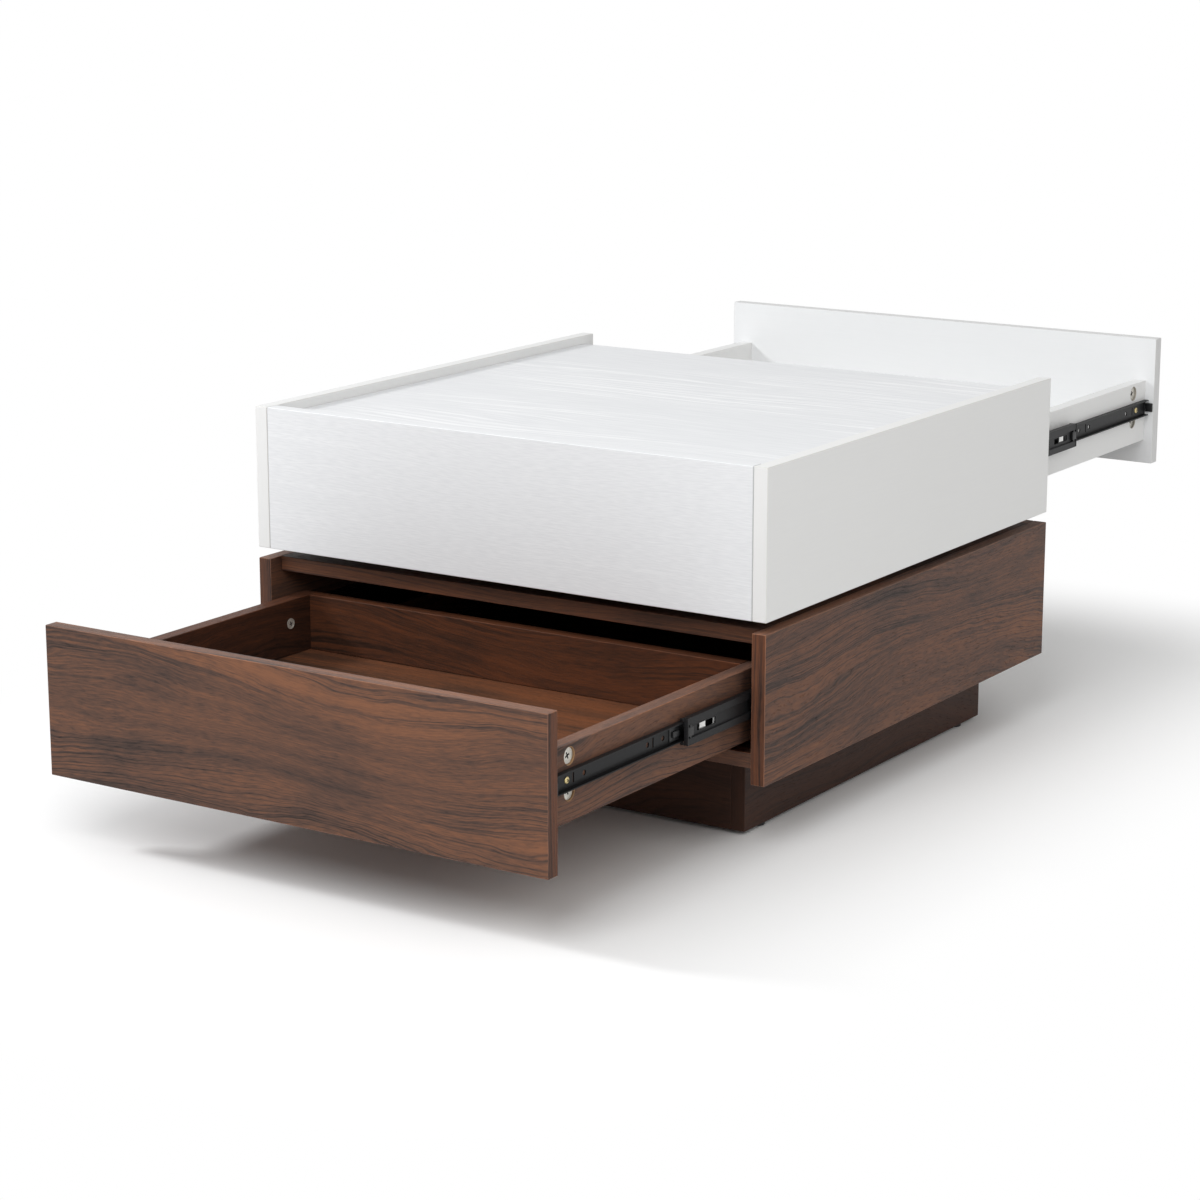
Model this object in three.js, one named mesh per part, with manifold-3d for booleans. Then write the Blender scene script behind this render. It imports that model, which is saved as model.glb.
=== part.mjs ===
// A square swivel coffee table in millimetres: a walnut unit on a plinth carries a white unit that
// turns on a ring bearing, and each unit has one drawer on ball bearing slides.
// The origin is on the floor on the swivel axis. X runs to the right of someone who faces the
// walnut drawer, Y to the back and Z up. Both drawers rest nearly fully open.

import * as THREE from "three";
import { mergeVertices } from "three/addons/utils/BufferGeometryUtils.js";
import Module from "manifold-3d";

const wasm = await Module();
wasm.setup();

// The two units
const unit_width = 600;
const unit_depth = 600;
const unit_height = 146;
const board = 15;
const lower_bottom_raise = 10; // walnut bottom board above the lower edges of its side boards
const upper_top_recess = 10; // white top board below the rim around it
const swivel_gap = 11;

// Plinth and glides
const plinth_inset = 50;
const plinth_drop = 66; // plinth that shows under the walnut side boards
const glide_height = 4;
const glide_diameter = 12;
const glide_inset = 40; // glide's centre from the front or back of the plinth

// Drawers
const front_side_gap = 1.5;
const front_back_gap = 2; // between a closed drawer front and the boards behind it
const box_headroom = 36; // clear height in the unit less the drawer box's height
const box_lift = 12; // drawer box above the board under it
const box_overhang = 8; // drawer box past the rear end of its slides
const drawer_bottom = 3;
const drawer_bottom_raise = 9;
const groove_depth = 5;
const groove_play = 0.3;
const rest_short_of_open = 17; // what is left of the travel where the drawers rest

// Cam connectors in the drawer sides
const cam_diameter = 15;
const cam_floor = 3; // wood left behind a cam
const cam_play = 0.2;
const cam_sink = 0.2;
const cam_setback = 34; // behind the drawer front
const cam_drop = 11; // upper cam below the top edge of the box
const cam_spacing = 32;
const cam_cross_width = 1.8;
const cam_cross_depth = 2.5;
const cam_cross_share = 0.62; // span of the cross over the cam's diameter

// Drawer slides: the space between drawer box and unit, and what fills it
const slide_space = 12.7;
const slide_height = 35;
const slide_length = 350;
const slide_drop = 31; // centre line below the top edge of the box
const slide_sheet = 1.2;
const outer_ball = 3;
const inner_ball = 2.5;
const ball_play = 0.15;
const cage_sheet = 0.6;
const cage_play = 0.3;
const middle_inset = 1; // middle member's ends inside those of the outer member
const middle_step = 2.2; // depth of the trough along the middle member
const middle_trough_share = 0.48; // its width over the member's height
const outer_lip_share = 0.5; // lip of the outer member over the height of its ball race
const outer_flange_share = 0.39; // free edges of the flanges over the slide space
const middle_flange_share = 0.33;
const middle_follow_share = 0.375; // middle member's travel over the drawer's
const outer_cage_length = 150;
const inner_cage_length = 70;
const outer_cage_stop = 12; // behind the outer member's front end at full travel
const inner_cage_stop = 22; // behind the middle member's front end at full travel
const cage_end = 8; // end of a cage to its first ball
const outer_cage_balls = 5;
const inner_cage_balls = 3;

// Openings in the slide members, measured from their front ends
const window_start = 19;
const window_length = 32;
const window_height_share = 0.48; // of the trough
const member_slot_places = [36.4, 164];
const member_slot_width = 2;
const member_slot_height_share = 0.5; // of the drawer member
const member_hole_places = [26, 53.4, 155, 180.7];
const member_rear_hole = 50; // from the drawer member's rear end
const member_hole_diameter = 5;

// Swivel bearing
const ring_diameter = 300;
const ring_width = 32;
const ring_plate = 2;
const ring_wall = 2;
const ring_lip = 1;
const ring_play = 0.3;
const ring_ball_share = 5 / 7; // ball diameter over the height between the plates
const ring_cage_thickness = 1;
const ring_cage_width = 2.4;
const ring_balls = 18;

// One overrun for every cut
const overrun = 1;

// Facets
const ring_segments = 72;
const cam_segments = 28;
const glide_segments = 24;
const hole_segments = 16;
const ball_segments = 6;
const ball_rings = 4;

const finishes = {
  walnut: new THREE.MeshStandardMaterial({ color: 0x6b5142, roughness: 0.5, metalness: 0 }),
  white: new THREE.MeshStandardMaterial({ color: 0xe3e5e7, roughness: 0.45, metalness: 0 }),
  slide: new THREE.MeshStandardMaterial({ color: 0x232427, roughness: 0.4, metalness: 0.6 }),
  zinc: new THREE.MeshStandardMaterial({ color: 0xb7b4ae, roughness: 0.35, metalness: 0.9 }),
  plastic: new THREE.MeshStandardMaterial({ color: 0x1b1b1c, roughness: 0.6, metalness: 0 }),
};

// A box from its low and high corners.
function boxGeometry(low, high) {
  const size = new THREE.Vector3().subVectors(high, low);
  const centre = new THREE.Vector3().addVectors(low, high).multiplyScalar(0.5);
  const placed = new THREE.Matrix4().makeScale(size.x, size.y, size.z).setPosition(centre);
  return new THREE.BoxGeometry(1, 1, 1).applyMatrix4(placed);
}

// A round bar along X between two places.
function barGeometry(diameter, from_x, to_x, y, z, segments) {
  const length = Math.abs(to_x - from_x);
  const bar = new THREE.CylinderGeometry(diameter / 2, diameter / 2, length, segments);
  return bar.rotateZ(Math.PI / 2).translate((from_x + to_x) / 2, y, z);
}

function ballGeometry(diameter, x, y, z) {
  return new THREE.SphereGeometry(diameter / 2, ball_segments, ball_rings).translate(x, y, z);
}

function solidOf(geometry) {
  const bare = geometry.clone();
  bare.deleteAttribute("normal");
  bare.deleteAttribute("uv");
  const merged = mergeVertices(bare);
  const solid = { numProp: 3, vertProperties: merged.attributes.position.array };
  solid.triVerts = new Uint32Array(merged.index.array);
  return new wasm.Manifold(new wasm.Mesh(solid));
}

function geometryOf(solid) {
  const mesh = solid.getMesh();
  const geometry = new THREE.BufferGeometry();
  geometry.setAttribute("position", new THREE.BufferAttribute(mesh.vertProperties, 3));
  geometry.setIndex(new THREE.BufferAttribute(mesh.triVerts, 1));
  return geometry;
}

function cut(geometry, tools) {
  const solid = tools.reduce((left, tool) => left.subtract(solidOf(tool)), solidOf(geometry));
  return geometryOf(solid);
}

function join(geometry, pieces) {
  const solid = pieces.reduce((whole, piece) => whole.add(solidOf(piece)), solidOf(geometry));
  return geometryOf(solid);
}

function piece(name, geometry, finish) {
  const mesh = new THREE.Mesh(geometry, finish);
  mesh.name = name;
  return mesh;
}

// A board between two corners, given as X, Y and Z ranges.
function boardGeometry([x0, x1], [y0, y1], [z0, z1]) {
  return boxGeometry(new THREE.Vector3(x0, y0, z0), new THREE.Vector3(x1, y1, z1));
}

// The range of a board's thickness inward from an outer face on one side.
function inward(face, side) {
  return side < 0 ? [-face, -face + board] : [face - board, face];
}

const half_width = unit_width / 2;
const half_depth = unit_depth / 2;
const inner_half_width = half_width - board;
const box_half_width = inner_half_width - slide_space;
const box_length = front_back_gap + slide_length + box_overhang;
const boards_front = -half_depth + board + front_back_gap;
const rest_travel = slide_length - rest_short_of_open;

// The five boards of a unit whose open front looks along minus Y, standing on its side boards.
function carcass(unit) {
  const full_height = [0, unit_height];
  const shelf_width = [-inner_half_width, inner_half_width];
  const shelf_depth = [boards_front, half_depth - board];
  const top = unit_height - unit.top_recess;
  const bottom = unit.bottom_raise;
  const group = new THREE.Group();
  for (const side of [-1, 1]) {
    const shape = boardGeometry(inward(half_width, side), [-half_depth, half_depth], full_height);
    group.add(piece(`${unit.name}_side_${sideWord(side, unit)}`, shape, unit.finish));
  }
  group.add(
    piece(
      `${unit.name}_bottom_board`,
      boardGeometry(shelf_width, shelf_depth, [bottom, bottom + board]),
      unit.finish,
    ),
    piece(
      `${unit.name}_top_board`,
      boardGeometry(shelf_width, shelf_depth, [top - board, top]),
      unit.finish,
    ),
    piece(
      `${unit.name}_${unit.panel}_panel`,
      boardGeometry(shelf_width, inward(half_depth, 1), full_height),
      unit.finish,
    ),
  );
  return group;
}

// Left and right as seen from the walnut drawer, also in the unit that is turned round.
function sideWord(side, unit) {
  return side < 0 !== unit.turned ? "left" : "right";
}

// Plinth frame on four glides, its side boards running from front to back.
function plinth() {
  const width = half_width - plinth_inset;
  const depth = half_depth - plinth_inset;
  const height = [glide_height, glide_height + plinth_drop + lower_bottom_raise];
  const group = new THREE.Group();
  for (const [word, side] of [["front", -1], ["back", 1]]) {
    const shape = boardGeometry([-width + board, width - board], inward(depth, side), height);
    group.add(piece(`plinth_${word}`, shape, finishes.walnut));
  }
  for (const [word, side] of [["left", -1], ["right", 1]]) {
    const shape = boardGeometry(inward(width, side), [-depth, depth], height);
    group.add(piece(`plinth_${word}`, shape, finishes.walnut));
    group.add(glide(`glide_front_${word}`, side * (width - board / 2), -depth + glide_inset));
    group.add(glide(`glide_back_${word}`, side * (width - board / 2), depth - glide_inset));
  }
  return group;
}

function glide(name, x, y) {
  const radius = glide_diameter / 2;
  const puck = new THREE.CylinderGeometry(radius, radius, glide_height, glide_segments);
  const mesh = piece(name, puck.rotateX(Math.PI / 2), finishes.plastic);
  mesh.position.set(x, y, glide_height / 2);
  return mesh;
}

// Heights and widths of the slide's nested channels: u runs from the drawer box to the unit's
// side board and v up from the slide's centre line.
const outer_half = slide_height / 2;
const outer_inside = outer_half - slide_sheet;
const middle_half = outer_inside - outer_ball - 2 * ball_play;
const middle_inside = middle_half - slide_sheet;
const inner_half = middle_inside - inner_ball - 2 * ball_play;
const outer_cage_u = slide_space - slide_sheet - cage_play;
const middle_rail_u = outer_cage_u - cage_sheet - cage_play;
const middle_web_u = middle_rail_u - middle_step;
const inner_cage_u = middle_web_u - slide_sheet - cage_play;
const inner_flange_u = inner_cage_u - cage_sheet - cage_play;
const outer_edge_u = slide_space * outer_flange_share;
const middle_edge_u = slide_space * middle_flange_share;
const outer_row_u = outer_edge_u + slide_sheet + 2 * cage_play + outer_ball / 2;
const outer_row_v = (outer_inside + middle_half) / 2;
const inner_row_u = (middle_edge_u + inner_flange_u) / 2;
const inner_row_v = (middle_inside + inner_half) / 2;
const trough = middle_half * middle_trough_share;

function outerOutline() {
  const lip_v = outer_inside - (outer_inside - middle_half) * outer_lip_share;
  return [
    [slide_space, outer_half],
    [outer_edge_u, outer_half],
    [outer_edge_u, lip_v],
    [outer_edge_u + slide_sheet, lip_v],
    [outer_edge_u + slide_sheet, outer_inside],
    [slide_space - slide_sheet, outer_inside],
  ];
}

function middleOutline() {
  return [
    [middle_web_u, trough],
    [middle_rail_u, trough],
    [middle_rail_u, middle_half],
    [middle_edge_u, middle_half],
    [middle_edge_u, middle_inside],
    [middle_rail_u - slide_sheet, middle_inside],
    [middle_rail_u - slide_sheet, trough + slide_sheet],
    [middle_web_u - slide_sheet, trough + slide_sheet],
  ];
}

function innerOutline() {
  return [
    [slide_sheet, inner_half - slide_sheet],
    [inner_flange_u, inner_half - slide_sheet],
    [inner_flange_u, inner_half],
    [0, inner_half],
  ];
}

function cageOutline(web_u, edge_u, row_v) {
  return [
    [web_u, row_v + cage_sheet / 2],
    [edge_u, row_v + cage_sheet / 2],
    [edge_u, row_v - cage_sheet / 2],
    [web_u - cage_sheet, row_v - cage_sheet / 2],
  ];
}

// A channel along Y from its front end at zero, its section mirrored about the centre line.
function channel(upper_half, length, side) {
  const lower_half = upper_half.map(([u, v]) => [u, -v]).reverse();
  const points = [...upper_half, ...lower_half].map(([u, v]) => new THREE.Vector2(side * u, v));
  const options = { depth: length, bevelEnabled: false };
  const bar = new THREE.ExtrudeGeometry(new THREE.Shape(points), options);
  return bar.rotateX(Math.PI / 2).translate(0, length, 0);
}

// A cut through a member's web.
function webCut(side, [y0, y1], height) {
  const reach = [-overrun, slide_space];
  const x_range = side < 0 ? reach.map((u) => -u).reverse() : reach;
  return boardGeometry(x_range, [y0, y1], [-height / 2, height / 2]);
}

function middleMember(side) {
  const length = slide_length - 2 * middle_inset;
  const height = 2 * trough * window_height_share;
  const window = webCut(side, [window_start, window_start + window_length], height);
  return cut(channel(middleOutline(), length, side), [window]);
}

function innerMember(side) {
  const slots = member_slot_places.map((place) => {
    const half = member_slot_width / 2;
    return webCut(side, [place - half, place + half], 2 * inner_half * member_slot_height_share);
  });
  const hole_places = [...member_hole_places, slide_length - member_rear_hole];
  const holes = hole_places.map((place) => {
    const ends = [-side * overrun, side * (slide_sheet + overrun)];
    return barGeometry(member_hole_diameter, ...ends, place, 0, hole_segments);
  });
  return cut(channel(innerOutline(), slide_length, side), [...slots, ...holes]);
}

// A ball cage: a thin channel with a row of balls held in each leg.
function ballCage(side, web_u, [row_u, row_v], ball, length, count) {
  const pitch = (length - 2 * cage_end) / (count - 1);
  const balls = [];
  for (let i = 0; i < count; i++)
    for (const level of [-row_v, row_v])
      balls.push(ballGeometry(ball, side * row_u, cage_end + i * pitch, level));
  return join(channel(cageOutline(web_u, row_u - ball / 2, row_v), length, side), balls);
}

function outerCage(side) {
  const row = [outer_row_u, outer_row_v];
  return ballCage(side, outer_cage_u, row, outer_ball, outer_cage_length, outer_cage_balls);
}

function innerCage(side) {
  const row = [inner_row_u, inner_row_v];
  return ballCage(side, inner_cage_u, row, inner_ball, inner_cage_length, inner_cage_balls);
}

// The parts of a slide that stay in the unit or follow the drawer. A follower's place is given
// at full travel, and it lies behind that by its share of what is left of the travel.
function slideInUnit(unit, side, centre_z) {
  const label = `${unit.name}_slide_${sideWord(side, unit)}`;
  const middle_front = middle_inset - slide_length * middle_follow_share;
  const inner_cage_share = (1 + middle_follow_share) / 2;
  const group = new THREE.Group();
  group.position.set(side * box_half_width, boards_front, centre_z);
  const add = (name, geometry, finish, open_y, follow_share) => {
    const mesh = piece(`${label}_${name}`, geometry, finish);
    mesh.position.y = open_y + rest_short_of_open * follow_share;
    group.add(mesh);
  };
  add("outer_member", channel(outerOutline(), slide_length, side), finishes.slide, 0, 0);
  add("middle_member", middleMember(side), finishes.slide, middle_front, middle_follow_share);
  add("outer_cage", outerCage(side), finishes.zinc, outer_cage_stop, middle_follow_share / 2);
  const inner_cage_open = middle_front + inner_cage_stop;
  add("inner_cage", innerCage(side), finishes.zinc, inner_cage_open, inner_cage_share);
  return group;
}

// A drawer from its front's back face at Y zero and its box's lower edges at Z zero.
function drawer(unit, box_height, front_low) {
  const label = `${unit.name}_drawer`;
  const inner_width = box_half_width - board;
  const groove_x = inner_width + groove_depth;
  const groove_top = drawer_bottom_raise + drawer_bottom + groove_play;
  const groove_end = box_length - board + groove_depth;
  const groove = boardGeometry(
    [-groove_x, groove_x],
    [-groove_depth, groove_end],
    [drawer_bottom_raise, groove_top],
  );
  const front_width = inner_half_width - front_side_gap;
  const front_height = [front_low, front_low + unit_height];
  const front = boardGeometry([-front_width, front_width], [-board, 0], front_height);
  const back_depth = [box_length - board, box_length];
  const back = boardGeometry([-inner_width, inner_width], back_depth, [0, box_height]);
  const sheet = boardGeometry(
    [-groove_x + groove_play, groove_x - groove_play],
    [-groove_depth + groove_play, groove_end - groove_play],
    [drawer_bottom_raise, drawer_bottom_raise + drawer_bottom],
  );
  const group = new THREE.Group();
  group.add(
    piece(`${label}_front`, cut(front, [groove]), unit.finish),
    piece(`${label}_back`, cut(back, [groove]), unit.finish),
    piece(`${label}_bottom`, sheet, unit.finish),
  );
  for (const side of [-1, 1]) {
    const word = sideWord(side, unit);
    const slide_z = box_height - slide_drop;
    const shape = boardGeometry(inward(box_half_width, side), [0, box_length], [0, box_height]);
    const cams = ["upper", "lower"].map((level, i) => {
      const cam = camConnector(`${label}_${word}_${level}_cam`, side);
      cam.position.z = box_height - cam_drop - i * cam_spacing;
      return cam;
    });
    const bores = cams.map((cam) => camBore(side, cam.position));
    group.add(piece(`${label}_side_${word}`, cut(shape, [groove, ...bores]), unit.finish));
    group.add(...cams);
    const member_name = `${unit.name}_slide_${word}_inner_member`;
    const member = piece(member_name, innerMember(side), finishes.slide);
    member.position.set(side * box_half_width, front_back_gap, slide_z);
    group.add(member);
  }
  return group;
}

// A cam connector lies in a bore from the drawer side's outer face, its cross to the outside.
function camConnector(name, side) {
  const ends = [side * -cam_sink, side * (cam_floor - board)];
  const body = barGeometry(cam_diameter, ...ends, 0, 0, cam_segments);
  const span = (cam_diameter * cam_cross_share) / 2;
  const half = cam_cross_width / 2;
  const bottom = -cam_sink - cam_cross_depth;
  const x_range = side < 0 ? [-overrun, -bottom] : [bottom, overrun];
  const upright = boardGeometry(x_range, [-half, half], [-span, span]);
  const level = boardGeometry(x_range, [-span, span], [-half, half]);
  const mesh = piece(name, cut(body, [upright, level]), finishes.zinc);
  mesh.position.set(side * box_half_width, cam_setback, 0);
  return mesh;
}

function camBore(side, place) {
  const ends = [side * overrun, side * (cam_floor - board - cam_play)];
  const bore = barGeometry(cam_diameter + 2 * cam_play, ...ends, 0, 0, cam_segments);
  return bore.translate(place.x, place.y, place.z);
}

// A unit with its drawer pulled out to where it rests.
function unitWithDrawer(unit) {
  const shelf_top = unit.bottom_raise + board;
  const ceiling = unit_height - unit.top_recess - board;
  const box_low = shelf_top + box_lift;
  const box_height = ceiling - shelf_top - box_headroom;
  const box = drawer(unit, box_height, -box_low);
  box.position.set(0, -half_depth + board - rest_travel, box_low);
  const group = carcass(unit);
  group.add(box);
  for (const side of [-1, 1])
    group.add(slideInUnit(unit, side, box_low + box_height - slide_drop));
  return group;
}

// The bearing between the units: a plate ring on each, with a wall and a lip that hold the balls.
const ring_outside = ring_diameter / 2;
const ring_inside = ring_outside - ring_width;
const ring_row = (ring_outside + ring_inside) / 2;
const ring_free = swivel_gap - 2 * ring_plate;
const ring_ball = ring_free * ring_ball_share;
const ring_reach = ring_ball / 2 + ring_play;

// Section of the lower ring above its board; the upper ring is the same shape turned over and
// folded about the ball row.
function ringSection(fold, level) {
  const lip_low = swivel_gap - ring_plate - ring_play - ring_lip;
  const lip_rise = lip_low - swivel_gap / 2 - ring_play;
  const lip_reach = Math.sqrt((ring_ball / 2) ** 2 - lip_rise ** 2);
  const outline = [
    [-ring_width / 2, 0],
    [ring_width / 2, 0],
    [ring_width / 2, ring_plate],
    [ring_reach + ring_wall, ring_plate],
    [ring_reach + ring_wall, lip_low + ring_lip],
    [lip_reach, lip_low + ring_lip],
    [lip_reach, lip_low],
    [ring_reach, lip_low],
    [ring_reach, ring_plate],
    [-ring_width / 2, ring_plate],
    [-ring_width / 2, 0],
  ];
  return outline.map(([r, z]) => new THREE.Vector2(ring_row + fold * r, level(z)));
}

function turnedRing(points) {
  return new THREE.LatheGeometry(points, ring_segments).rotateX(Math.PI / 2);
}

function swivelCage() {
  const half_height = ring_cage_thickness / 2;
  const half_width = ring_cage_width / 2;
  const corners = [[-1, -1], [1, -1], [1, 1], [-1, 1], [-1, -1]];
  const section = corners.map(
    ([across, up]) => new THREE.Vector2(ring_row + across * half_width, up * half_height),
  );
  const balls = [];
  for (let i = 0; i < ring_balls; i++) {
    const angle = (2 * Math.PI * i) / ring_balls;
    const x = ring_row * Math.cos(angle);
    const y = ring_row * Math.sin(angle);
    balls.push(ballGeometry(ring_ball, x, y, 0));
  }
  return join(turnedRing(section), balls);
}

function swivelBearing() {
  const group = new THREE.Group();
  const lower_ring = turnedRing(ringSection(1, (z) => z));
  const upper_ring = turnedRing(ringSection(-1, (z) => swivel_gap - z));
  const cage = piece("swivel_ball_cage", swivelCage(), finishes.zinc);
  cage.position.z = swivel_gap / 2;
  group.add(
    piece("swivel_lower_ring", lower_ring, finishes.zinc),
    piece("swivel_upper_ring", upper_ring, finishes.zinc),
    cage,
  );
  return group;
}

function table() {
  const lower_z = glide_height + plinth_drop;
  const lower = unitWithDrawer({
    name: "lower",
    panel: "back",
    finish: finishes.walnut,
    turned: false,
    bottom_raise: lower_bottom_raise,
    top_recess: 0,
  });
  lower.position.z = lower_z;
  const upper = unitWithDrawer({
    name: "upper",
    panel: "front",
    finish: finishes.white,
    turned: true,
    bottom_raise: 0,
    top_recess: upper_top_recess,
  });
  upper.rotation.z = Math.PI;
  upper.position.z = lower_z + unit_height + swivel_gap;
  const bearing = swivelBearing();
  bearing.position.z = lower_z + unit_height;
  const root = new THREE.Group();
  root.add(plinth(), lower, bearing, upper);
  return root;
}

export default table();
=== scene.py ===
"""Looks of a square swivel coffee table: walnut and white laminates, black slides, bright fittings.

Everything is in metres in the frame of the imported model: X to the right of someone who faces the
walnut drawer, Y to the back and Z up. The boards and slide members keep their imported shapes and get
eased edges and finishes. Small round parts are made again with finer shapes in the same places.
"""
import logging
import math
from collections.abc import Mapping, Sequence
from dataclasses import asdict, dataclass
from enum import Enum
from functools import cache
from typing import Any, ClassVar

import bmesh
import bpy
from mathutils import Matrix, Vector


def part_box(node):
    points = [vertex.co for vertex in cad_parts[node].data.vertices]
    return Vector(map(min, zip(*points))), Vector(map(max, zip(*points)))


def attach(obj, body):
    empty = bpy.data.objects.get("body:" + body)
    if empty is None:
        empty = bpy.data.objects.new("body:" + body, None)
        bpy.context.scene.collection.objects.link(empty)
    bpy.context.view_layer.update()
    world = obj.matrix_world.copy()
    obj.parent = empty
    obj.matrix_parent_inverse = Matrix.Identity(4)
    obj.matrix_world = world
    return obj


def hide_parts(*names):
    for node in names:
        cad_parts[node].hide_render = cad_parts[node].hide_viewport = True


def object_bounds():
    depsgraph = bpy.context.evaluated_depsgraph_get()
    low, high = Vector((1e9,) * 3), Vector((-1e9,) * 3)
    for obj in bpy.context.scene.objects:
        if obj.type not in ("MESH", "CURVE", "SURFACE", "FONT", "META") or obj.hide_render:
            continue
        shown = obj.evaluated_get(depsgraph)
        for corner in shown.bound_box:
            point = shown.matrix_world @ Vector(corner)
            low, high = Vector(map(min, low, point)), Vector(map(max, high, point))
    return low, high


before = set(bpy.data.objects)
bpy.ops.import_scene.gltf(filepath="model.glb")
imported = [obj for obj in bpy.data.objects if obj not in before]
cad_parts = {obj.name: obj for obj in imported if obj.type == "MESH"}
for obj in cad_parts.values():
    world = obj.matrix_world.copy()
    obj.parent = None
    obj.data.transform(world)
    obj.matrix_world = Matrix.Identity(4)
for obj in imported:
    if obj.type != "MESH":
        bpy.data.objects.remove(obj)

CAD_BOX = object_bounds()
LOG = logging.getLogger("coffee_table")
MM = 0.001

Colour = tuple[float, float, float]
Point = tuple[float, float, float]
Values = Mapping[str | int, Any]
Socket = bpy.types.NodeSocket
Shape = bmesh.types.BMesh
Piece = bpy.types.Object

UNTINTED: Colour = (1.0, 1.0, 1.0)
UP: Point = (0.0, 0.0, 1.0)
CLEARANCE = 0.02 * MM
MERGED_UNDER = 0.005 * MM
SHARP_OVER = math.radians(35)


class Axis(Enum):
    """A direction of the shared frame, by its place in a vector."""

    X = 0
    Y = 1
    Z = 2


class Side(Enum):
    """A side of the table as seen from the walnut drawer, with the sign of its X."""

    LEFT = -1
    RIGHT = 1

    @property
    def word(self) -> str:
        """The side's word in the names of pieces."""
        return self.name.lower()


class Opening(Enum):
    """The way that a unit's drawer slides out, with the sign of its Y."""

    FRONT = -1
    BACK = 1


class NodeGraph:
    """Adds nodes to a tree and links them, so that a finish reads as a list of steps."""

    def __init__(self, tree: bpy.types.NodeTree) -> None:
        """Works on one shader or geometry tree."""
        self.tree = tree

    def feed(self, entry: Socket, value: Any) -> None:
        """Links a socket into an input, or sets the input's own value.

        Args:
            entry: the input.
            value: another node's output, or a plain value.
        """
        if isinstance(value, Socket):
            self.tree.links.new(value, entry)
        else:
            entry.default_value = value

    def socket(self, word: str, kind: str, way: str = "INPUT") -> Any:
        """Gives the tree a named input or output of a kind."""
        return self.tree.interface.new_socket(word, in_out=way, socket_type=f"NodeSocket{kind}")

    def node(self, kind: str, values: Values | None = None, **settings: Any) -> bpy.types.Node:
        """Adds a node.

        Args:
            kind: the node's type name.
            values: what goes into its inputs, by name or place.
            settings: the node's own properties.

        Returns:
            The new node.
        """
        made = self.tree.nodes.new(kind)
        for key, value in settings.items():
            setattr(made, key, value)
        for key, value in (values or {}).items():
            self.feed(made.inputs[key], value)
        return made

    def maths(self, operation: str, *values: Any, clamp: bool = False) -> Socket:
        """The result of a Math node on values in order, kept from 0 to 1 where clamp is set."""
        fed = dict(enumerate(values))
        return self.node("ShaderNodeMath", fed, operation=operation, use_clamp=clamp).outputs[0]

    def vector(self, operation: str, *values: Any) -> Socket:
        """The vector of a Vector Math node on values in order."""
        fed = dict(enumerate(values))
        return self.node("ShaderNodeVectorMath", fed, operation=operation).outputs["Vector"]

    def length(self, vector: Any) -> Socket:
        """The length of a vector."""
        return self.node("ShaderNodeVectorMath", {0: vector}, operation="LENGTH").outputs["Value"]

    def split(self, vector: Any) -> list[Socket]:
        """The three parts of a vector."""
        return list(self.node("ShaderNodeSeparateXYZ", {0: vector}).outputs)

    def joined(self, *parts: Any) -> Socket:
        """The vector of three parts."""
        return self.node("ShaderNodeCombineXYZ", dict(enumerate(parts))).outputs[0]


class ShaderGraph(NodeGraph):
    """The steps that the finishes share."""

    def noise(self, place: Any, stretch: Point, detail: float = 2.0) -> Socket:
        """Adds a noise pattern.

        Args:
            place: where it is read, in metres.
            stretch: its blotches in each metre, along each axis.
            detail: how many finer layers it has.

        Returns:
            The noise, about 0.5 on average.
        """
        spread = self.vector("MULTIPLY", place, stretch)
        values = {"Vector": spread, "Scale": 1.0, "Detail": detail}
        return self.node("ShaderNodeTexNoise", values).outputs[0]

    def centred(self, noise: Any, reach: float) -> Socket:
        """A noise as a value about zero, which is reach where the noise is 1 above its average."""
        return self.maths("MULTIPLY_ADD", noise, reach, -reach / 2)

    def between(self, value: Any, low: float, high: float) -> Socket:
        """Rises smoothly from 0 to 1 while a value goes from low to high."""
        values = {"Value": value, "From Min": low, "From Max": high}
        return self.node("ShaderNodeMapRange", values, interpolation_type="SMOOTHSTEP").outputs[0]

    def mixed(self, share: Any, first: Any, second: Any, blend: str = "MIX") -> Socket:
        """Mixes two colours.

        Args:
            share: how much of the second one is in the mix.
            first: a colour or its socket.
            second: a colour or its socket.
            blend: the way of mixing.

        Returns:
            The mixed colour.
        """
        first, second = (opaque(c) if isinstance(c, tuple) else c for c in (first, second))
        values = {0: share, 6: first, 7: second}
        return self.node("ShaderNodeMix", values, data_type="RGBA", blend_type=blend).outputs[2]

    def ramp(self, value: Any, stops: Sequence[tuple[float, Colour]]) -> Socket:
        """Turns a value into a colour.

        Args:
            value: the value's socket.
            stops: places from 0 to 1 and their colours.

        Returns:
            The colour.
        """
        made = self.node("ShaderNodeValToRGB", {0: value})
        band = made.color_ramp
        while len(band.elements) < len(stops):
            band.elements.new(1.0)
        for element, (place, colour) in zip(band.elements, stops):
            element.position = place
            element.color = opaque(colour)
        return made.outputs[0]

    def bump(self, height: Any, depth: float) -> Socket:
        """The normal of a surface whose relief is depth metres deep where the height is 1."""
        return self.node("ShaderNodeBump", {"Height": height, "Distance": depth}).outputs[0]


def opaque(colour: Colour) -> tuple[float, float, float, float]:
    """A colour with full opacity."""
    return (*colour, 1.0)


@dataclass(frozen=True)
class Finish:
    """What every finish has: its name and the record's slot that it stands for."""

    name: str
    slot: str

    def started(self, name: str) -> tuple[bpy.types.Material, ShaderGraph, bpy.types.Node]:
        """Starts a material.

        Args:
            name: the material's name.

        Returns:
            The material, the graph of its nodes and its main shader.
        """
        material = bpy.data.materials.new(name)
        material.use_nodes = True
        tree = material.node_tree
        return material, ShaderGraph(tree), tree.nodes["Principled BSDF"]


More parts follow.
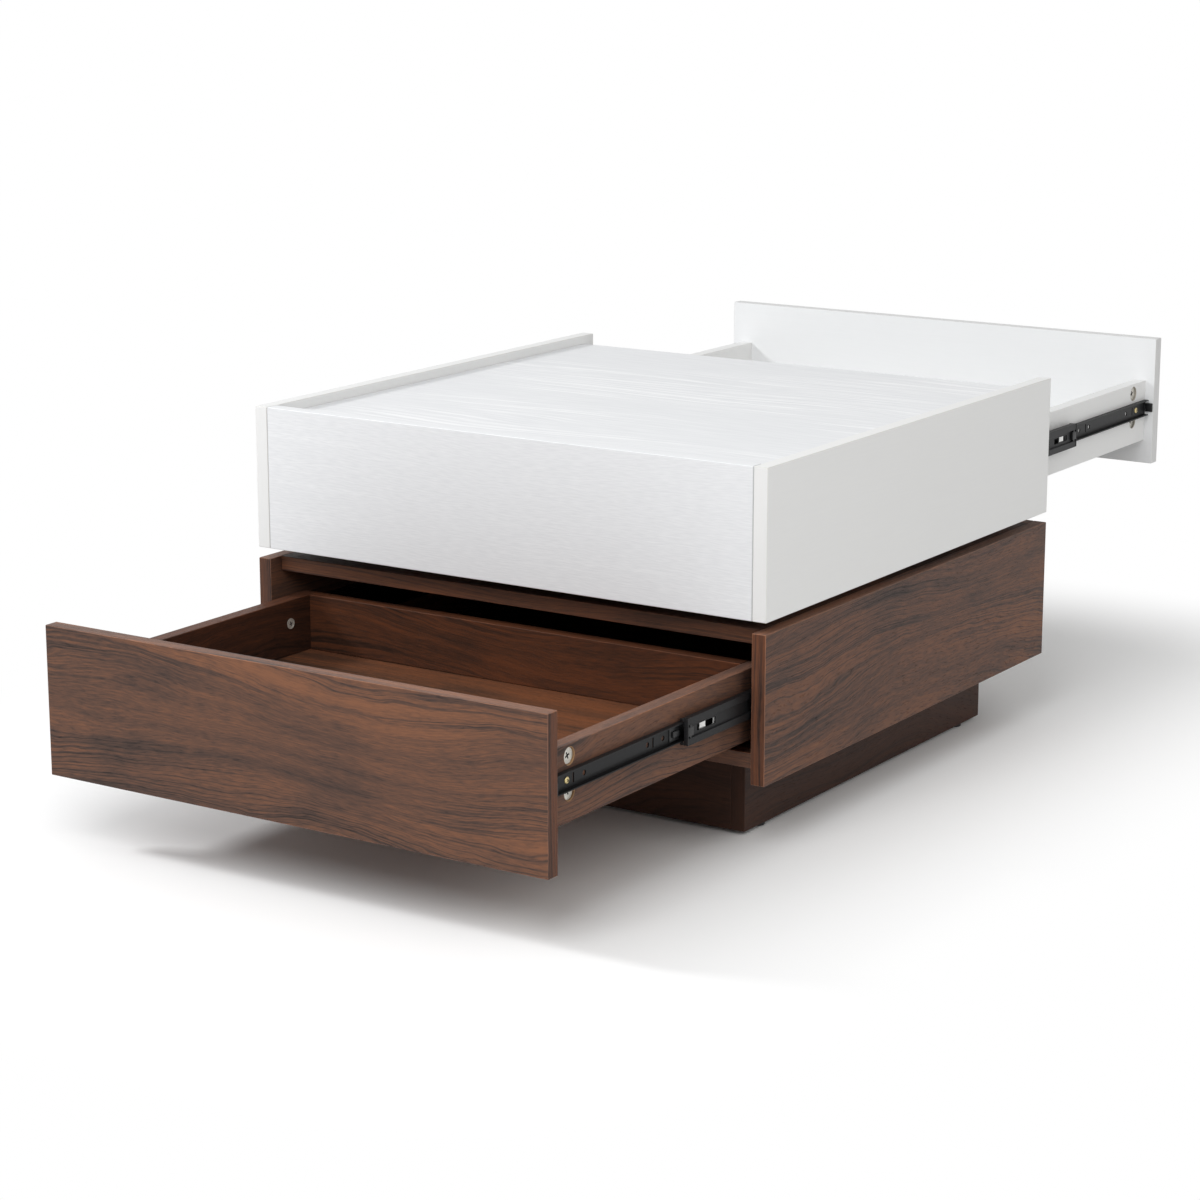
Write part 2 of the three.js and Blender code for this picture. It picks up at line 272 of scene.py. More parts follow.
@dataclass(frozen=True)
class Mottled(Finish):
    """Metal or plastic whose colour, gloss and surface vary a little from place to place."""

    colour: Colour
    metallic: float
    roughness: float
    mottle: float = 0.12
    blotches: float = 180.0
    finer: float = 7.0
    relief: float = 0.00002
    specular: float = 0.5

    def shaded(self, graph: ShaderGraph, place: Any, colour: Any) -> Any:
        """Shades parts of the surface by their place in the shared frame, here none."""
        return colour

    @cache
    def material(self) -> bpy.types.Material:
        """Makes the material, once for all pieces.

        Returns:
            The material.
        """
        material, graph, shader = self.started(self.name)
        place = graph.node("ShaderNodeTexCoord").outputs["Object"]
        broad = graph.noise(place, (self.blotches,) * 3, 3.0)
        fine = graph.noise(place, (self.blotches * self.finer,) * 3, 2.0)
        dark = tuple(c * (1 - self.mottle) for c in self.colour)
        light = tuple(c * (1 + self.mottle) for c in self.colour)
        spread = graph.between(broad, 0.3, 0.7)
        colour = self.shaded(graph, place, graph.mixed(spread, dark, light))
        graph.feed(shader.inputs["Base Color"], colour)
        uneven = graph.centred(fine, self.roughness * self.mottle)
        graph.feed(shader.inputs["Roughness"], graph.maths("ADD", uneven, self.roughness))
        graph.feed(shader.inputs["Normal"], graph.bump(fine, self.relief))
        shader.inputs["Metallic"].default_value = self.metallic
        shader.inputs["Specular IOR Level"].default_value = self.specular
        return material


@dataclass(frozen=True)
class TrackSteel(Mottled):
    """Coated steel whose lower ball track is painted black, as painted shade."""

    centre: float = 0.0
    edge: float = -3.6 * MM
    edge_blur: float = 0.6 * MM
    # Painted shade: the colour of the lower ball track, which faces down into shade.
    grease: Colour = (0.0022, 0.0022, 0.0025)

    def shaded(self, graph: ShaderGraph, place: Any, colour: Any) -> Any:
        """Paints shade on the lower track, black below its edge.

        Args:
            graph: the graph that gets the nodes.
            place: the place in the shared frame.
            colour: the mottled colour.

        Returns:
            The colour.
        """
        height = graph.maths("SUBTRACT", graph.split(place)[2], self.centre)
        unshaded = graph.between(height, self.edge - self.edge_blur, self.edge)
        return graph.mixed(unshaded, self.grease, colour)


@dataclass(frozen=True)
class Grain:
    """How a board was cut from its sheet: the way its grain runs, its width and its place.

    Its plain way is the sign of the thickness axis on whose face the print is left plain, or 0.
    A butted board ends against its neighbours, so a fine dark joint shows there.
    """

    along: Axis
    across: Axis
    sheet_place: Point
    tint: Colour = UNTINTED
    plain_way: int = 0
    butted: bool = False

    @property
    def through(self) -> Axis:
        """The axis of the board's thickness."""
        return Axis(3 - self.along.value - self.across.value)


@dataclass(frozen=True)
class Bores:
    """Round bores in a board that show the raw chipboard at their rims."""

    centres: tuple[Vector, ...]
    radius: float
    chipboard: Colour
    chips: Point = (900.0, 900.0, 900.0)
    shade: float = 0.6


@dataclass(frozen=True)
class Laminate(Finish):
    """Chipboard with a printed face and edge bands, whose figure follows the board's grain."""

    edge_tint: Colour = UNTINTED
    end_tint: Colour = UNTINTED
    edge_zoom: float = 2.5
    relief: float = 0.00006
    specular: float = 0.22
    # Tint of the eased edges: a painted highlight on the walnut and the white top and front, the
    # beige glue seam's colour on the white drawer and the smooth white.
    highlight: Colour = (1.05, 1.05, 1.05)
    chipboard: Colour = (0.42, 0.25, 0.13)
    joint: float = 1.0 * MM
    joint_shade: float = 0.72
    plain: Colour = (0.82, 0.828, 0.835)
    plain_share: float = 0.9
    facing: float = 0.5
    square: float = 0.94

    def figure(self, graph: ShaderGraph, place: Any) -> tuple[Any, Any, Any]:
        """Draws the print at a place on the sheet: its colour, roughness and relief."""
        raise NotImplementedError

    @cache
    def figure_group(self) -> bpy.types.NodeTree:
        """Makes the group that draws the figure, once for all boards.

        Returns:
            The group.
        """
        graph = ShaderGraph(bpy.data.node_groups.new(f"{self.name}_figure", "ShaderNodeTree"))
        graph.socket("Place", "Vector")
        for word, kind in (("Color", "Color"), ("Roughness", "Float"), ("Height", "Float")):
            graph.socket(word, kind, "OUTPUT")
        start = graph.node("NodeGroupInput")
        drawn = self.figure(graph, start.outputs[0])
        graph.node("NodeGroupOutput", dict(enumerate(drawn)))
        return graph.tree

    def board_material(self, node: str, grain: Grain, bores: Bores | None) -> bpy.types.Material:
        """Makes the material of one board.

        Args:
            node: the board's node.
            grain: how the board was cut.
            bores: the bores in it, if it has any.

        Returns:
            The material.
        """
        material, graph, shader = self.started(f"{self.name}_{node}")
        low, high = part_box(node)
        coordinates = graph.node("ShaderNodeTexCoord")
        local = graph.vector("SUBTRACT", coordinates.outputs["Object"], (low + high) / 2)
        parts = graph.split(local)
        along, across, through = (
            parts[axis.value] for axis in (grain.along, grain.across, grain.through)
        )
        facing = graph.split(graph.vector("ABSOLUTE", coordinates.outputs["Normal"]))
        squareness = graph.maths("MAXIMUM", facing[0], graph.maths("MAXIMUM", facing[1], facing[2]))
        banded = graph.maths("MULTIPLY", through, self.edge_zoom)
        on_end = graph.maths("GREATER_THAN", facing[grain.along.value], self.facing)
        on_edge = graph.maths("LESS_THAN", facing[grain.through.value], self.facing)
        on_long_edge = graph.maths("SUBTRACT", on_edge, on_end, clamp=True)
        place = graph.joined(along, across, through)
        for there, other in (
            (on_long_edge, graph.joined(along, banded, across)),
            (on_end, graph.joined(across, banded, along)),
        ):
            values = {0: there, 4: place, 5: other}
            place = graph.node("ShaderNodeMix", values, data_type="VECTOR").outputs[1]
        group = graph.node("ShaderNodeGroup", node_tree=self.figure_group())
        graph.feed(group.inputs[0], graph.vector("ADD", place, grain.sheet_place))
        printed = group.outputs[0]
        if grain.plain_way:
            normal = graph.split(coordinates.outputs["Normal"])[grain.through.value]
            towards = graph.maths("MULTIPLY", normal, grain.plain_way)
            plain = graph.maths("GREATER_THAN", towards, self.facing)
            share = graph.maths("MULTIPLY", plain, self.plain_share)
            printed = graph.mixed(share, printed, self.plain)
        # On the walnut the edge band's tint is painted light, which lightens the long edges.
        band, end, eased = (
            tuple(part * own for part, own in zip(other, grain.tint))
            for other in (self.edge_tint, self.end_tint, self.highlight)
        )
        tint = graph.mixed(on_long_edge, graph.mixed(on_end, grain.tint, end), band)
        # The eased edges get their tint: a painted highlight on most finishes, the seam's colour on
        # the white drawer and the smooth white.
        tint = graph.mixed(graph.maths("LESS_THAN", squareness, self.square), tint, eased)
        if grain.butted:
            half = (high - low)[grain.along.value] / 2
            joint = graph.maths("GREATER_THAN", graph.maths("ABSOLUTE", along), half - self.joint)
            tint = graph.mixed(joint, tint, tuple(c * self.joint_shade for c in grain.tint))
        tinted = graph.mixed(1.0, printed, tint, "MULTIPLY")
        if bores:
            tinted = self.rimmed(graph, coordinates.outputs["Object"], tinted, bores)
        graph.feed(shader.inputs["Base Color"], tinted)
        graph.feed(shader.inputs["Roughness"], group.outputs[1])
        graph.feed(shader.inputs["Normal"], graph.bump(group.outputs[2], self.relief))
        shader.inputs["Specular IOR Level"].default_value = self.specular
        return material

    def rimmed(self, graph: ShaderGraph, place: Any, colour: Any, bores: Bores) -> Any:
        """Shows raw chipboard at the bores.

        Args:
            graph: the graph that gets the nodes.
            place: the place in the shared frame.
            colour: the print's colour.
            bores: the bores.

        Returns:
            The colour with the rims.
        """
        for centre in bores.centres:
            away = graph.length(graph.vector("SUBTRACT", place, centre))
            inside = graph.maths("LESS_THAN", away, bores.radius)
            dark = tuple(c * bores.shade for c in bores.chipboard)
            raw = graph.mixed(graph.noise(place, bores.chips), dark, bores.chipboard)
            colour = graph.mixed(inside, colour, raw)
        return colour


@dataclass(frozen=True)
class WalnutLaminate(Laminate):
    """Dark walnut print: grey brown clouds, orange streaks, thin growth lines and short fibres.

    The grain's layers are given by their blotches in each metre along, across and through a board.
    """

    shade: Colour = (0.026, 0.019, 0.0165)
    dark: Colour = (0.062, 0.040, 0.033)
    body: Colour = (0.112, 0.059, 0.041)
    glow: Colour = (0.205, 0.090, 0.049)
    contrast: float = 1.0
    roughness: float = 0.46
    waves: Point = (2.4, 7.5, 7.5)
    wave_reach: float = 0.10
    ripples: Point = (12.0, 30.0, 30.0)
    ripple_reach: float = 0.012
    bands: Point = (1.4, 22.0, 14.0)
    streaks: Point = (2.4, 125.0, 50.0)
    growth: Point = (1.2, 150.0, 30.0)
    growth_width: float = 0.06
    growth_places: Point = (2.5, 14.0, 10.0)
    clouds: Point = (7.0, 20.0, 20.0)
    fibres: Point = (70.0, 680.0, 680.0)
    pores: Point = (120.0, 1250.0, 1250.0)
    pore_gloss: float = 0.2

    def figure(self, graph: ShaderGraph, place: Any) -> tuple[Any, Any, Any]:
        """Draws the walnut figure.

        Args:
            graph: the graph that gets the nodes.
            place: the place on the sheet.

        Returns:
            The sockets of the colour, the roughness and the relief's height.
        """
        waves, ripples = (self.waves, self.wave_reach), (self.ripples, self.ripple_reach)
        flow = bent(graph, place, waves, ripples)
        bands = graph.noise(flow, self.bands, 3.0)
        streaks = graph.noise(flow, self.streaks, 2.0)
        places = graph.between(graph.noise(flow, self.growth_places, 1.0), 0.38, 0.60)
        growth = growth_lines(graph, flow, self.growth, self.growth_width)
        lines = graph.maths("MULTIPLY", growth, places)
        clouds = graph.between(graph.noise(place, self.clouds, 2.0), 0.46, 0.74)
        fibres = graph.noise(flow, self.fibres, 2.0)
        pores = graph.between(graph.noise(flow, self.pores, 1.0), 0.58, 0.70)
        tone = graph.maths("ADD", graph.centred(bands, 0.95), 0.66)
        for layer, share in (
            (graph.centred(streaks, 1.0), 0.60),
            (lines, -0.36),
            (clouds, -0.22),
            (graph.centred(fibres, 1.0), 0.72),
            (pores, -0.12),
        ):
            tone = graph.maths("MULTIPLY_ADD", layer, share, tone)
        tone = graph.maths("MULTIPLY_ADD", tone, self.contrast, 0.5 * (1 - self.contrast))
        stops = ((0.0, self.shade), (0.28, self.dark), (0.55, self.body), (0.95, self.glow))
        height = graph.maths("SUBTRACT", fibres, pores)
        gloss = graph.maths("MULTIPLY_ADD", pores, self.pore_gloss, self.roughness)
        return graph.ramp(tone, stops), gloss, height


@dataclass(frozen=True)
class WhiteLaminate(Laminate):
    """White film, pressed with the fibres and growth lines of a wood or left nearly smooth."""

    light: Colour = (0.900, 0.906, 0.915)
    groove: Colour = (0.665, 0.676, 0.695)
    pressing: float = 1.0
    veins: float = 0.10
    fibre: float = 0.75
    fibre_length: float = 0.04
    fibre_rate: float = 850.0
    waves: Point = (2.0, 6.5, 6.5)
    bend: float = 0.05
    ripples: Point = (14.0, 40.0, 40.0)
    ripple_reach: float = 0.003
    growth: Point = (1.0, 140.0, 20.0)
    growth_width: float = 0.05
    growth_places: Point = (3.0, 8.0, 8.0)
    growth_depth: float = 0.12
    roughness: float = 0.42
    groove_gloss: float = 0.1

    def figure(self, graph: ShaderGraph, place: Any) -> tuple[Any, Any, Any]:
        """Draws the pressed figure.

        Args:
            graph: the graph that gets the nodes.
            place: the place on the sheet.

        Returns:
            The sockets of the colour, the roughness and the relief's height.
        """
        waves, ripples = (self.waves, self.bend), (self.ripples, self.ripple_reach)
        flow = bent(graph, place, waves, ripples)
        growth = growth_lines(graph, flow, self.growth, self.growth_width)
        places = graph.between(graph.noise(place, self.growth_places, 1.0), 0.38, 0.58)
        spacing = (1 / self.fibre_length, self.fibre_rate, self.fibre_rate)
        fibres = graph.noise(flow, spacing, 1.0)
        broken = graph.maths("MULTIPLY", growth, graph.between(fibres, 0.25, 0.5))
        spread = graph.maths("MULTIPLY", broken, places)
        base = 0.5 - self.growth_depth * self.veins
        raised = graph.maths("MULTIPLY_ADD", spread, self.veins, base)
        raised = graph.maths("ADD", raised, graph.centred(fibres, self.fibre), clamp=True)
        above = graph.maths("SUBTRACT", raised, 0.5)
        share = graph.maths("MULTIPLY_ADD", above, self.pressing, 0.5)
        dull = self.roughness + self.groove_gloss / 2
        gloss = graph.maths("MULTIPLY_ADD", share, -self.groove_gloss, dull)
        return graph.mixed(share, self.groove, self.light), gloss, share


def bent(graph: ShaderGraph, place: Any, *bends: tuple[Point, float]) -> Socket:
    """Bends the grain sideways.

    Args:
        graph: the graph that gets the nodes.
        place: the place on the sheet.
        bends: the blotches in each metre of each bend and how far it reaches, the broad one first.

    Returns:
        The place with its part across the grain moved.
    """
    along, across, through = graph.split(place)
    broad, small = (
        graph.centred(graph.noise(place, stretch, detail), reach)
        for detail, (stretch, reach) in enumerate(bends, 1)
    )
    moved = graph.maths("ADD", across, graph.maths("ADD", broad, small))
    return graph.joined(along, moved, through)


def growth_lines(graph: ShaderGraph, flow: Any, stretch: Point, width: float) -> Any:
    """Draws thin lines where a stretched noise passes its average.

    Args:
        graph: the graph that gets the nodes.
        flow: the bent place on the sheet.
        stretch: the noise's blotches in each metre.
        width: how far from the average a line reaches.

    Returns:
        The lines' strength.
    """
    noise = graph.noise(flow, stretch, 2.0)
    away = graph.maths("ABSOLUTE", graph.maths("SUBTRACT", noise, 0.5))
    return graph.maths("SUBTRACT", 1.0, graph.between(away, 0.0, width))


WALNUT = WalnutLaminate(
    "walnut",
    "walnut_laminate",
    # Painted light: the walnut's long edges are lightened, as the top edges catch light from above.
    edge_tint=(1.45, 1.48, 1.50),
    end_tint=(0.80, 0.71, 0.68),
    specular=0.12,
    # Painted highlight along the eased edges.
    highlight=(1.8, 1.8, 1.8),
)
PLINTH_WALNUT = WalnutLaminate("plinth_walnut", "walnut_laminate", specular=0.12, contrast=0.45)
WHITE_TOP = WhiteLaminate("white_top", "white_laminate", relief=0.00003, veins=0.7, bend=0.09)
WHITE_FRONT = WhiteLaminate(
    "white_front",
    "white_laminate",
    relief=0.00004,
    fibre=0.6,
    fibre_length=0.014,
    bend=0.03,
)
WHITE_DRAWER = WhiteLaminate(
    "white_drawer",
    "white_laminate",
    edge_tint=(0.86, 0.85, 0.83),
    end_tint=(0.86, 0.85, 0.83),
    highlight=(0.84, 0.83, 0.80),
    relief=0.00006,
)
SMOOTH_WHITE = WhiteLaminate(
    "smooth_white",
    "white_laminate",
    relief=0.00004,
    highlight=(0.90, 0.89, 0.86),
    chipboard=(0.46, 0.42, 0.36),
    light=(0.835, 0.835, 0.828),
    groove=(0.765, 0.765, 0.758),
    pressing=0.3,
)
SLIDE_STEEL = Mottled(
    "coated_steel", "slide_steel", (0.0075, 0.0077, 0.0085), 0.0, 0.44, specular=0.22
)
CAGE_ZINC = Mottled("cage_zinc", "zinc", (0.80, 0.80, 0.79), 0.55, 0.34)
CAM_ZINC = Mottled("cam_zinc", "zinc", (0.62, 0.60, 0.55), 0.5, 0.42, 0.16, 400.0)
RING_STEEL = Mottled("ring_steel", "ring_steel", (0.50, 0.49, 0.47), 0.9, 0.36, 0.2, 60.0)
BALL_STEEL = Mottled("ball_steel", "zinc", (0.66, 0.66, 0.66), 1.0, 0.14, 0.05)
SCREW_BRASS = Mottled("yellow_screws", "zinc", (0.66, 0.54, 0.27), 0.8, 0.34)
SCREW_STEEL = Mottled("steel_screws", "ring_steel", (0.56, 0.56, 0.55), 0.95, 0.30)
# Painted shade: the dark colour put on the faces of the cross recesses in cams and screw heads.
RECESS_SHADE = Mottled("recess_shade", "zinc", (0.020, 0.019, 0.018), 0.2, 0.60)
STOP_PLASTIC = Mottled("stop_plastic", "glide_plastic", (0.008, 0.008, 0.009), 0.0, 0.45)
GLIDE_PLASTIC = Mottled("glide_plastic", "glide_plastic", (0.012, 0.012, 0.013), 0.0, 0.55)


def settle(piece: Piece, body: str, finish: Finish, *nodes: str) -> None:
    """Makes a piece ride on its body and reports it.

    Args:
        piece: the finished piece, in place.
        body: the body that carries it.
        finish: its finish.
        nodes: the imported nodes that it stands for.
    """
    if nodes:
        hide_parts(*nodes)
    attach(piece, body)
    LOG.info("%s on %s: %s, %d faces", piece.name, body, finish.name, len(piece.data.polygons))


def linked(name: str, data: bpy.types.ID) -> Piece:
    """Puts something new in the scene.

    Args:
        name: its name.
        data: its mesh, lamp or camera.

    Returns:
        The object.
    """
    made = bpy.data.objects.new(name, data)
    bpy.context.scene.collection.objects.link(made)
    return made


def mesh_of(name: str, shape: Shape) -> bpy.types.Mesh:
    """Turns a shape into a mesh whose faces point outward.

    Args:
        name: the mesh's name.
        shape: the shape in place, which is used up.

    Returns:
        The mesh.
    """
    bmesh.ops.recalc_face_normals(shape, faces=shape.faces)
    mesh = bpy.data.meshes.new(name)
    shape.to_mesh(mesh)
    shape.free()
    return mesh


def new_piece(name: str, shape: Shape, finish: Mottled) -> Piece:
    """Turns a shape into a piece with a finish.

    Args:
        name: the piece's name.
        shape: its shape in place, which is used up.
        finish: its finish.

    Returns:
        The piece.
    """
    mesh = mesh_of(name, shape)
    mesh.shade_smooth()
    mesh.set_sharp_from_angle(angle=SHARP_OVER)
    mesh.materials.append(finish.material())
    return linked(name, mesh)


def rounded_block(low: Vector, high: Vector, radius: float) -> Shape:
    """Makes a block with rounded edges.

    Args:
        low: its low corner.
        high: its high corner.
        radius: the rounding.

    Returns:
        The shape.
    """
    shape = bmesh.new()
    size, centre = high - low, (low + high) / 2
    place = Matrix.Translation(centre) @ Matrix.Diagonal((*size, 1.0))
    bmesh.ops.create_cube(shape, size=1.0, matrix=place)
    bmesh.ops.bevel(
        shape, geom=shape.edges[:], offset=radius, segments=3, profile=0.5, affect="EDGES"
    )
    return shape


def revolved(profile: Sequence[tuple[float, float]], turn: Matrix, segments: int) -> Shape:
    """Turns a profile about the local Z axis.

    Args:
        profile: radius and height of each point, closed or from axis to axis.
        turn: the matrix that puts the turned shape in its place.
        segments: the number of steps round the axis.

    Returns:
        The shape.
    """
    shape = bmesh.new()
    points = [shape.verts.new((radius, 0.0, height)) for radius, height in profile]
    edges = [shape.edges.new(pair) for pair in zip(points, points[1:])]
    bmesh.ops.spin(
        shape,
        geom=points + edges,
        cent=(0.0, 0.0, 0.0),
        axis=UP,
        angle=2 * math.pi,
        steps=segments,
    )
    bmesh.ops.remove_doubles(shape, verts=shape.verts, dist=0.02 * MM)
    bmesh.ops.transform(shape, matrix=turn, verts=shape.verts)
    return shape


class Growth(NodeGraph):
    """A geometry tree with named inputs, and the pieces that grow from it."""

    sizes: ClassVar[Mapping[str, Any]]

    def __init__(self) -> None:
        """Makes the tree, its named inputs at their usual values."""
        super().__init__(bpy.data.node_groups.new(type(self).__name__, "GeometryNodeTree"))
        for way in ("OUTPUT", "INPUT"):
            self.socket("Geometry", "Geometry", way)
        kinds = {int: "Int", float: "Float", tuple: "Vector"}
        for word, value in self.sizes.items():
            self.socket(word, kinds[type(value)]).default_value = value
        for word in ("Finish", "Recess Finish"):
            self.socket(word, "Material")
        self.start = self.node("NodeGroupInput")
        self.shape()

    def given(self, word: str) -> Socket:
        """The socket of a named input."""
        return self.start.outputs[word]

    def given_all(self, **inputs: str) -> dict[str, Socket]:
        """The named inputs that feed a node's inputs, whose words have _ for a space."""
        return {word.replace("_", " "): self.given(name) for word, name in inputs.items()}

    def step(self, kind: str, values: Values, **settings: Any) -> Socket:
        """Adds a geometry node, named without its prefix, and returns its first output."""
        return self.node(f"GeometryNode{kind}", values, **settings).outputs[0]

    def shape(self) -> None:
        """Adds the nodes that make the shape and ends with close."""
        raise NotImplementedError

    def close(self, geometry: Socket) -> None:
        """Ends the tree with real meshes, their finish and painted shade on the recesses' faces.

        Args:
            geometry: what the tree made.
        """
        real = self.step("RealizeInstances", {0: geometry})
        smooth = self.step("SetShadeSmooth", {"Geometry": real})
        finished = self.step("SetMaterial", {"Geometry": smooth, "Material": self.given("Finish")})
        recess = self.step("InputNamedAttribute", {0: "recess"}, data_type="BOOLEAN")
        values = {"Geometry": finished, "Material": self.given("Recess Finish")}
        self.node("NodeGroupOutput", {0: self.step("SetMaterial", {**values, "Selection": recess})})

    def grow(self, name: str, base: bpy.types.Mesh, finish: Mottled, **sizes: Any) -> Piece:
        """Grows one piece and turns it into a plain mesh.

        Args:
            name: the piece's name.
            base: the mesh that the tree starts from.
            finish: the piece's finish.
            sizes: the inputs that differ from their usual values, by name with _ for a space.

        Returns:
            The piece.
        """
        piece = linked(name, base)
        modifier = piece.modifiers.new("growth", "NODES")
        modifier.node_group = self.tree
        named = {item.name: item.identifier for item in self.tree.interface.items_tree}
        for word, value in sizes.items():
            modifier[named[word.replace("_", " ")]] = value
        modifier[named["Finish"]] = finish.material()
        # The recesses' faces get painted shade.
        modifier[named["Recess Finish"]] = RECESS_SHADE.material()
        graph = bpy.context.evaluated_depsgraph_get()
        mesh = bpy.data.meshes.new_from_object(piece.evaluated_get(graph), depsgraph=graph)
        piece.modifiers.remove(modifier)
        piece.data = mesh
        mesh.set_sharp_from_angle(angle=SHARP_OVER)
        return piece

    def ball(self, diameter: Any, rounds: int = 3) -> Socket:
        """The mesh of a bearing ball whose faces are divided in rounds."""
        radius = self.maths("DIVIDE", diameter, 2.0)
        return self.step("MeshIcoSphere", {"Radius": radius, "Subdivisions": rounds})

    def less_cross(self, solid: Any, span: Any, width: Any, depth: Any, top: Any) -> Any:
        """Cuts a cross recess into the top of a solid and marks its faces for painted shade.

        Args:
            solid: the solid, its axis along Z.
            span: the length of the cross's arms from end to end.
            width: the width of an arm.
            depth: the depth of the recess.
            top: the height of the solid's top.

        Returns:
            The solid with the recess.
        """
        arms = []
        lift = self.joined(0.0, 0.0, top)
        marks = {"data_type": "BOOLEAN", "domain": "FACE"}
        for sizes in ((span, width), (width, span)):
            size = self.joined(*sizes, self.maths("MULTIPLY", depth, 2.0))
            bar = self.step("MeshCube", {"Size": size})
            lifted = self.step("Transform", {"Geometry": bar, "Translation": lift})
            values = {"Geometry": lifted, "Name": "recess", "Value": True}
            arms.append(self.step("StoreNamedAttribute", values, **marks))
        return self.less(solid, *arms)

    def less(self, solid: Any, *cutters: Any) -> Socket:
        """Cuts shapes out of a solid.

        Args:
            solid: the solid.
            cutters: the shapes that are cut out of it.

        Returns:
            What is left of the solid.
        """
        way = {"operation": "DIFFERENCE", "solver": "EXACT"}
        cut = self.node("GeometryNodeMeshBoolean", {0: solid}, **way)
        for cutter in cutters:
            self.feed(cut.inputs[1], cutter)
        return cut.outputs[0]

    def placed(self, head: Any) -> Socket:
        """Puts a head on each point of the base, its axis along the point's outward direction.

        Args:
            head: the head's mesh.

        Returns:
            The heads as instances, each turned by its own seeded angle.
        """
        outward = self.step("InputNamedAttribute", {0: "outward"}, data_type="FLOAT_VECTOR")
        values = {2: 0.0, 3: math.pi, "Seed": self.given("Seed")}
        spin = self.node("FunctionNodeRandomValue", values).outputs[1]
        turned = self.node("FunctionNodeAxisAngleToRotation", {0: UP, 1: spin}).outputs[0]
        values = {"Rotation": turned, "Vector": outward}
        aligned = self.node("FunctionNodeAlignRotationToVector", values, axis="Z").outputs[0]
        values = {"Points": self.given("Geometry"), "Instance": head, "Rotation": aligned}
        return self.step("InstanceOnPoints", values)

    def crossed(self, head: Any, top: Any) -> Socket:
        """A head with the cross recess of the tree's own inputs."""
        words = ("Recess Span", "Recess Width", "Recess Depth")
        return self.less_cross(head, *(self.given(word) for word in words), top)

    def row(self, **inputs: str) -> Socket:
        """A line of points whose inputs are the tree's named ones."""
        return self.step("MeshLine", self.given_all(**inputs))


class BallRows(Growth):
    """Two parallel rows of bearing balls."""

    sizes = {
        "Start": (0.0, 0.0, 0.0),
        "Step": (0.0, 10 * MM, 0.0),
        "Row Gap": (0.0, 0.0, 10 * MM),
        "Count": 5,
        "Ball Diameter": 3 * MM,
    }

    def shape(self) -> None:
        """Puts balls along a line and again at the other leg of the cage."""
        line = self.row(Count="Count", Start_Location="Start", Offset="Step")
        other = self.step("Transform", {"Geometry": line, "Translation": self.given("Row Gap")})
        rows = self.node("GeometryNodeJoinGeometry")
        for row in (line, other):
            self.feed(rows.inputs[0], row)
        values = {"Points": rows.outputs[0], "Instance": self.ball(self.given("Ball Diameter"))}
        self.close(self.step("InstanceOnPoints", values))


class BallRing(Growth):
    """Bearing balls round a circle."""

    sizes = {
        "Count": 18,
        "Row Radius": 130 * MM,
        "Centre": (0.0, 0.0, 0.0),
        "Ball Diameter": 5 * MM,
    }

    def shape(self) -> None:
        """Puts a ball on each corner of a circle at the ring's height."""
        circle = self.step("MeshCircle", self.given_all(Vertices="Count", Radius="Row Radius"))
        lifted = self.step("Transform", {"Geometry": circle, "Translation": self.given("Centre")})
        values = {"Points": lifted, "Instance": self.ball(self.given("Ball Diameter"))}
        self.close(self.step("InstanceOnPoints", values))


class ScrewHeads(Growth):
    """Low domed screw heads with a cross recess."""

    sizes = {
        "Head Diameter": 6.8 * MM,
        "Head Height": 1.5 * MM,
        "Recess Span": 3.6 * MM,
        "Recess Width": 0.8 * MM,
        "Recess Depth": 0.9 * MM,
        "Seed": 4,
    }

    def shape(self) -> None:
        """Flattens a ball to a dome, cuts the cross and puts it on each point."""
        radius = self.maths("DIVIDE", self.given("Head Diameter"), 2.0)
        ball = self.step("MeshUVSphere", {"Segments": 32, "Rings": 17, "Radius": 1.0})
        size = self.joined(radius, radius, self.given("Head Height"))
        dome = self.step("Transform", {"Geometry": ball, "Scale": size})
        x, y, z = self.split(self.step("InputPosition", {}))
        above = self.joined(x, y, self.maths("MAXIMUM", z, 0.0))
        flat = self.step("SetPosition", {"Geometry": dome, "Position": above})
        merged = self.step("MergeByDistance", {0: flat, "Distance": MERGED_UNDER})
        self.close(self.placed(self.crossed(merged, self.given("Head Height"))))


class CamDiscs(Growth):
    """Cam connectors: discs with a raised rim and a cross recess."""

    sizes = {
        "Cam Diameter": 15 * MM,
        "Body Depth": 11 * MM,
        "Dish Share": 0.86,
        "Dish Depth": 0.4 * MM,
        "Recess Span": 6.6 * MM,
        "Recess Width": 1.6 * MM,
        "Recess Depth": 3 * MM,
        "Seed": 11,
    }

    def shape(self) -> None:
        """Sinks the face of a disc inside its rim, cuts the cross and puts it on each point."""
        depth = self.given("Body Depth")
        radius = self.maths("DIVIDE", self.given("Cam Diameter"), 2.0)
        sizes = {"Vertices": 64, "Radius": radius, "Depth": depth}
        disc = self.node("GeometryNodeMeshCylinder", sizes)
        half_down = self.joined(0.0, 0.0, self.maths("DIVIDE", depth, -2.0))
        body = self.step("Transform", {"Geometry": disc.outputs[0], "Translation": half_down})
        values = {"Mesh": body, "Selection": disc.outputs["Top"], "Offset Scale": 0.0}
        rim = self.node("GeometryNodeExtrudeMesh", values)
        top = rim.outputs["Top"]
        values = {"Geometry": rim.outputs[0], "Selection": top, "Scale": self.given("Dish Share")}
        inner = self.step("ScaleElements", values)
        sunk = self.maths("MULTIPLY", self.given("Dish Depth"), -1.0)
        dish = self.step("ExtrudeMesh", {"Mesh": inner, "Selection": top, "Offset Scale": sunk})
        merged = self.step("MergeByDistance", {0: dish, "Distance": MERGED_UNDER})
        self.close(self.placed(self.crossed(merged, 0.0)))


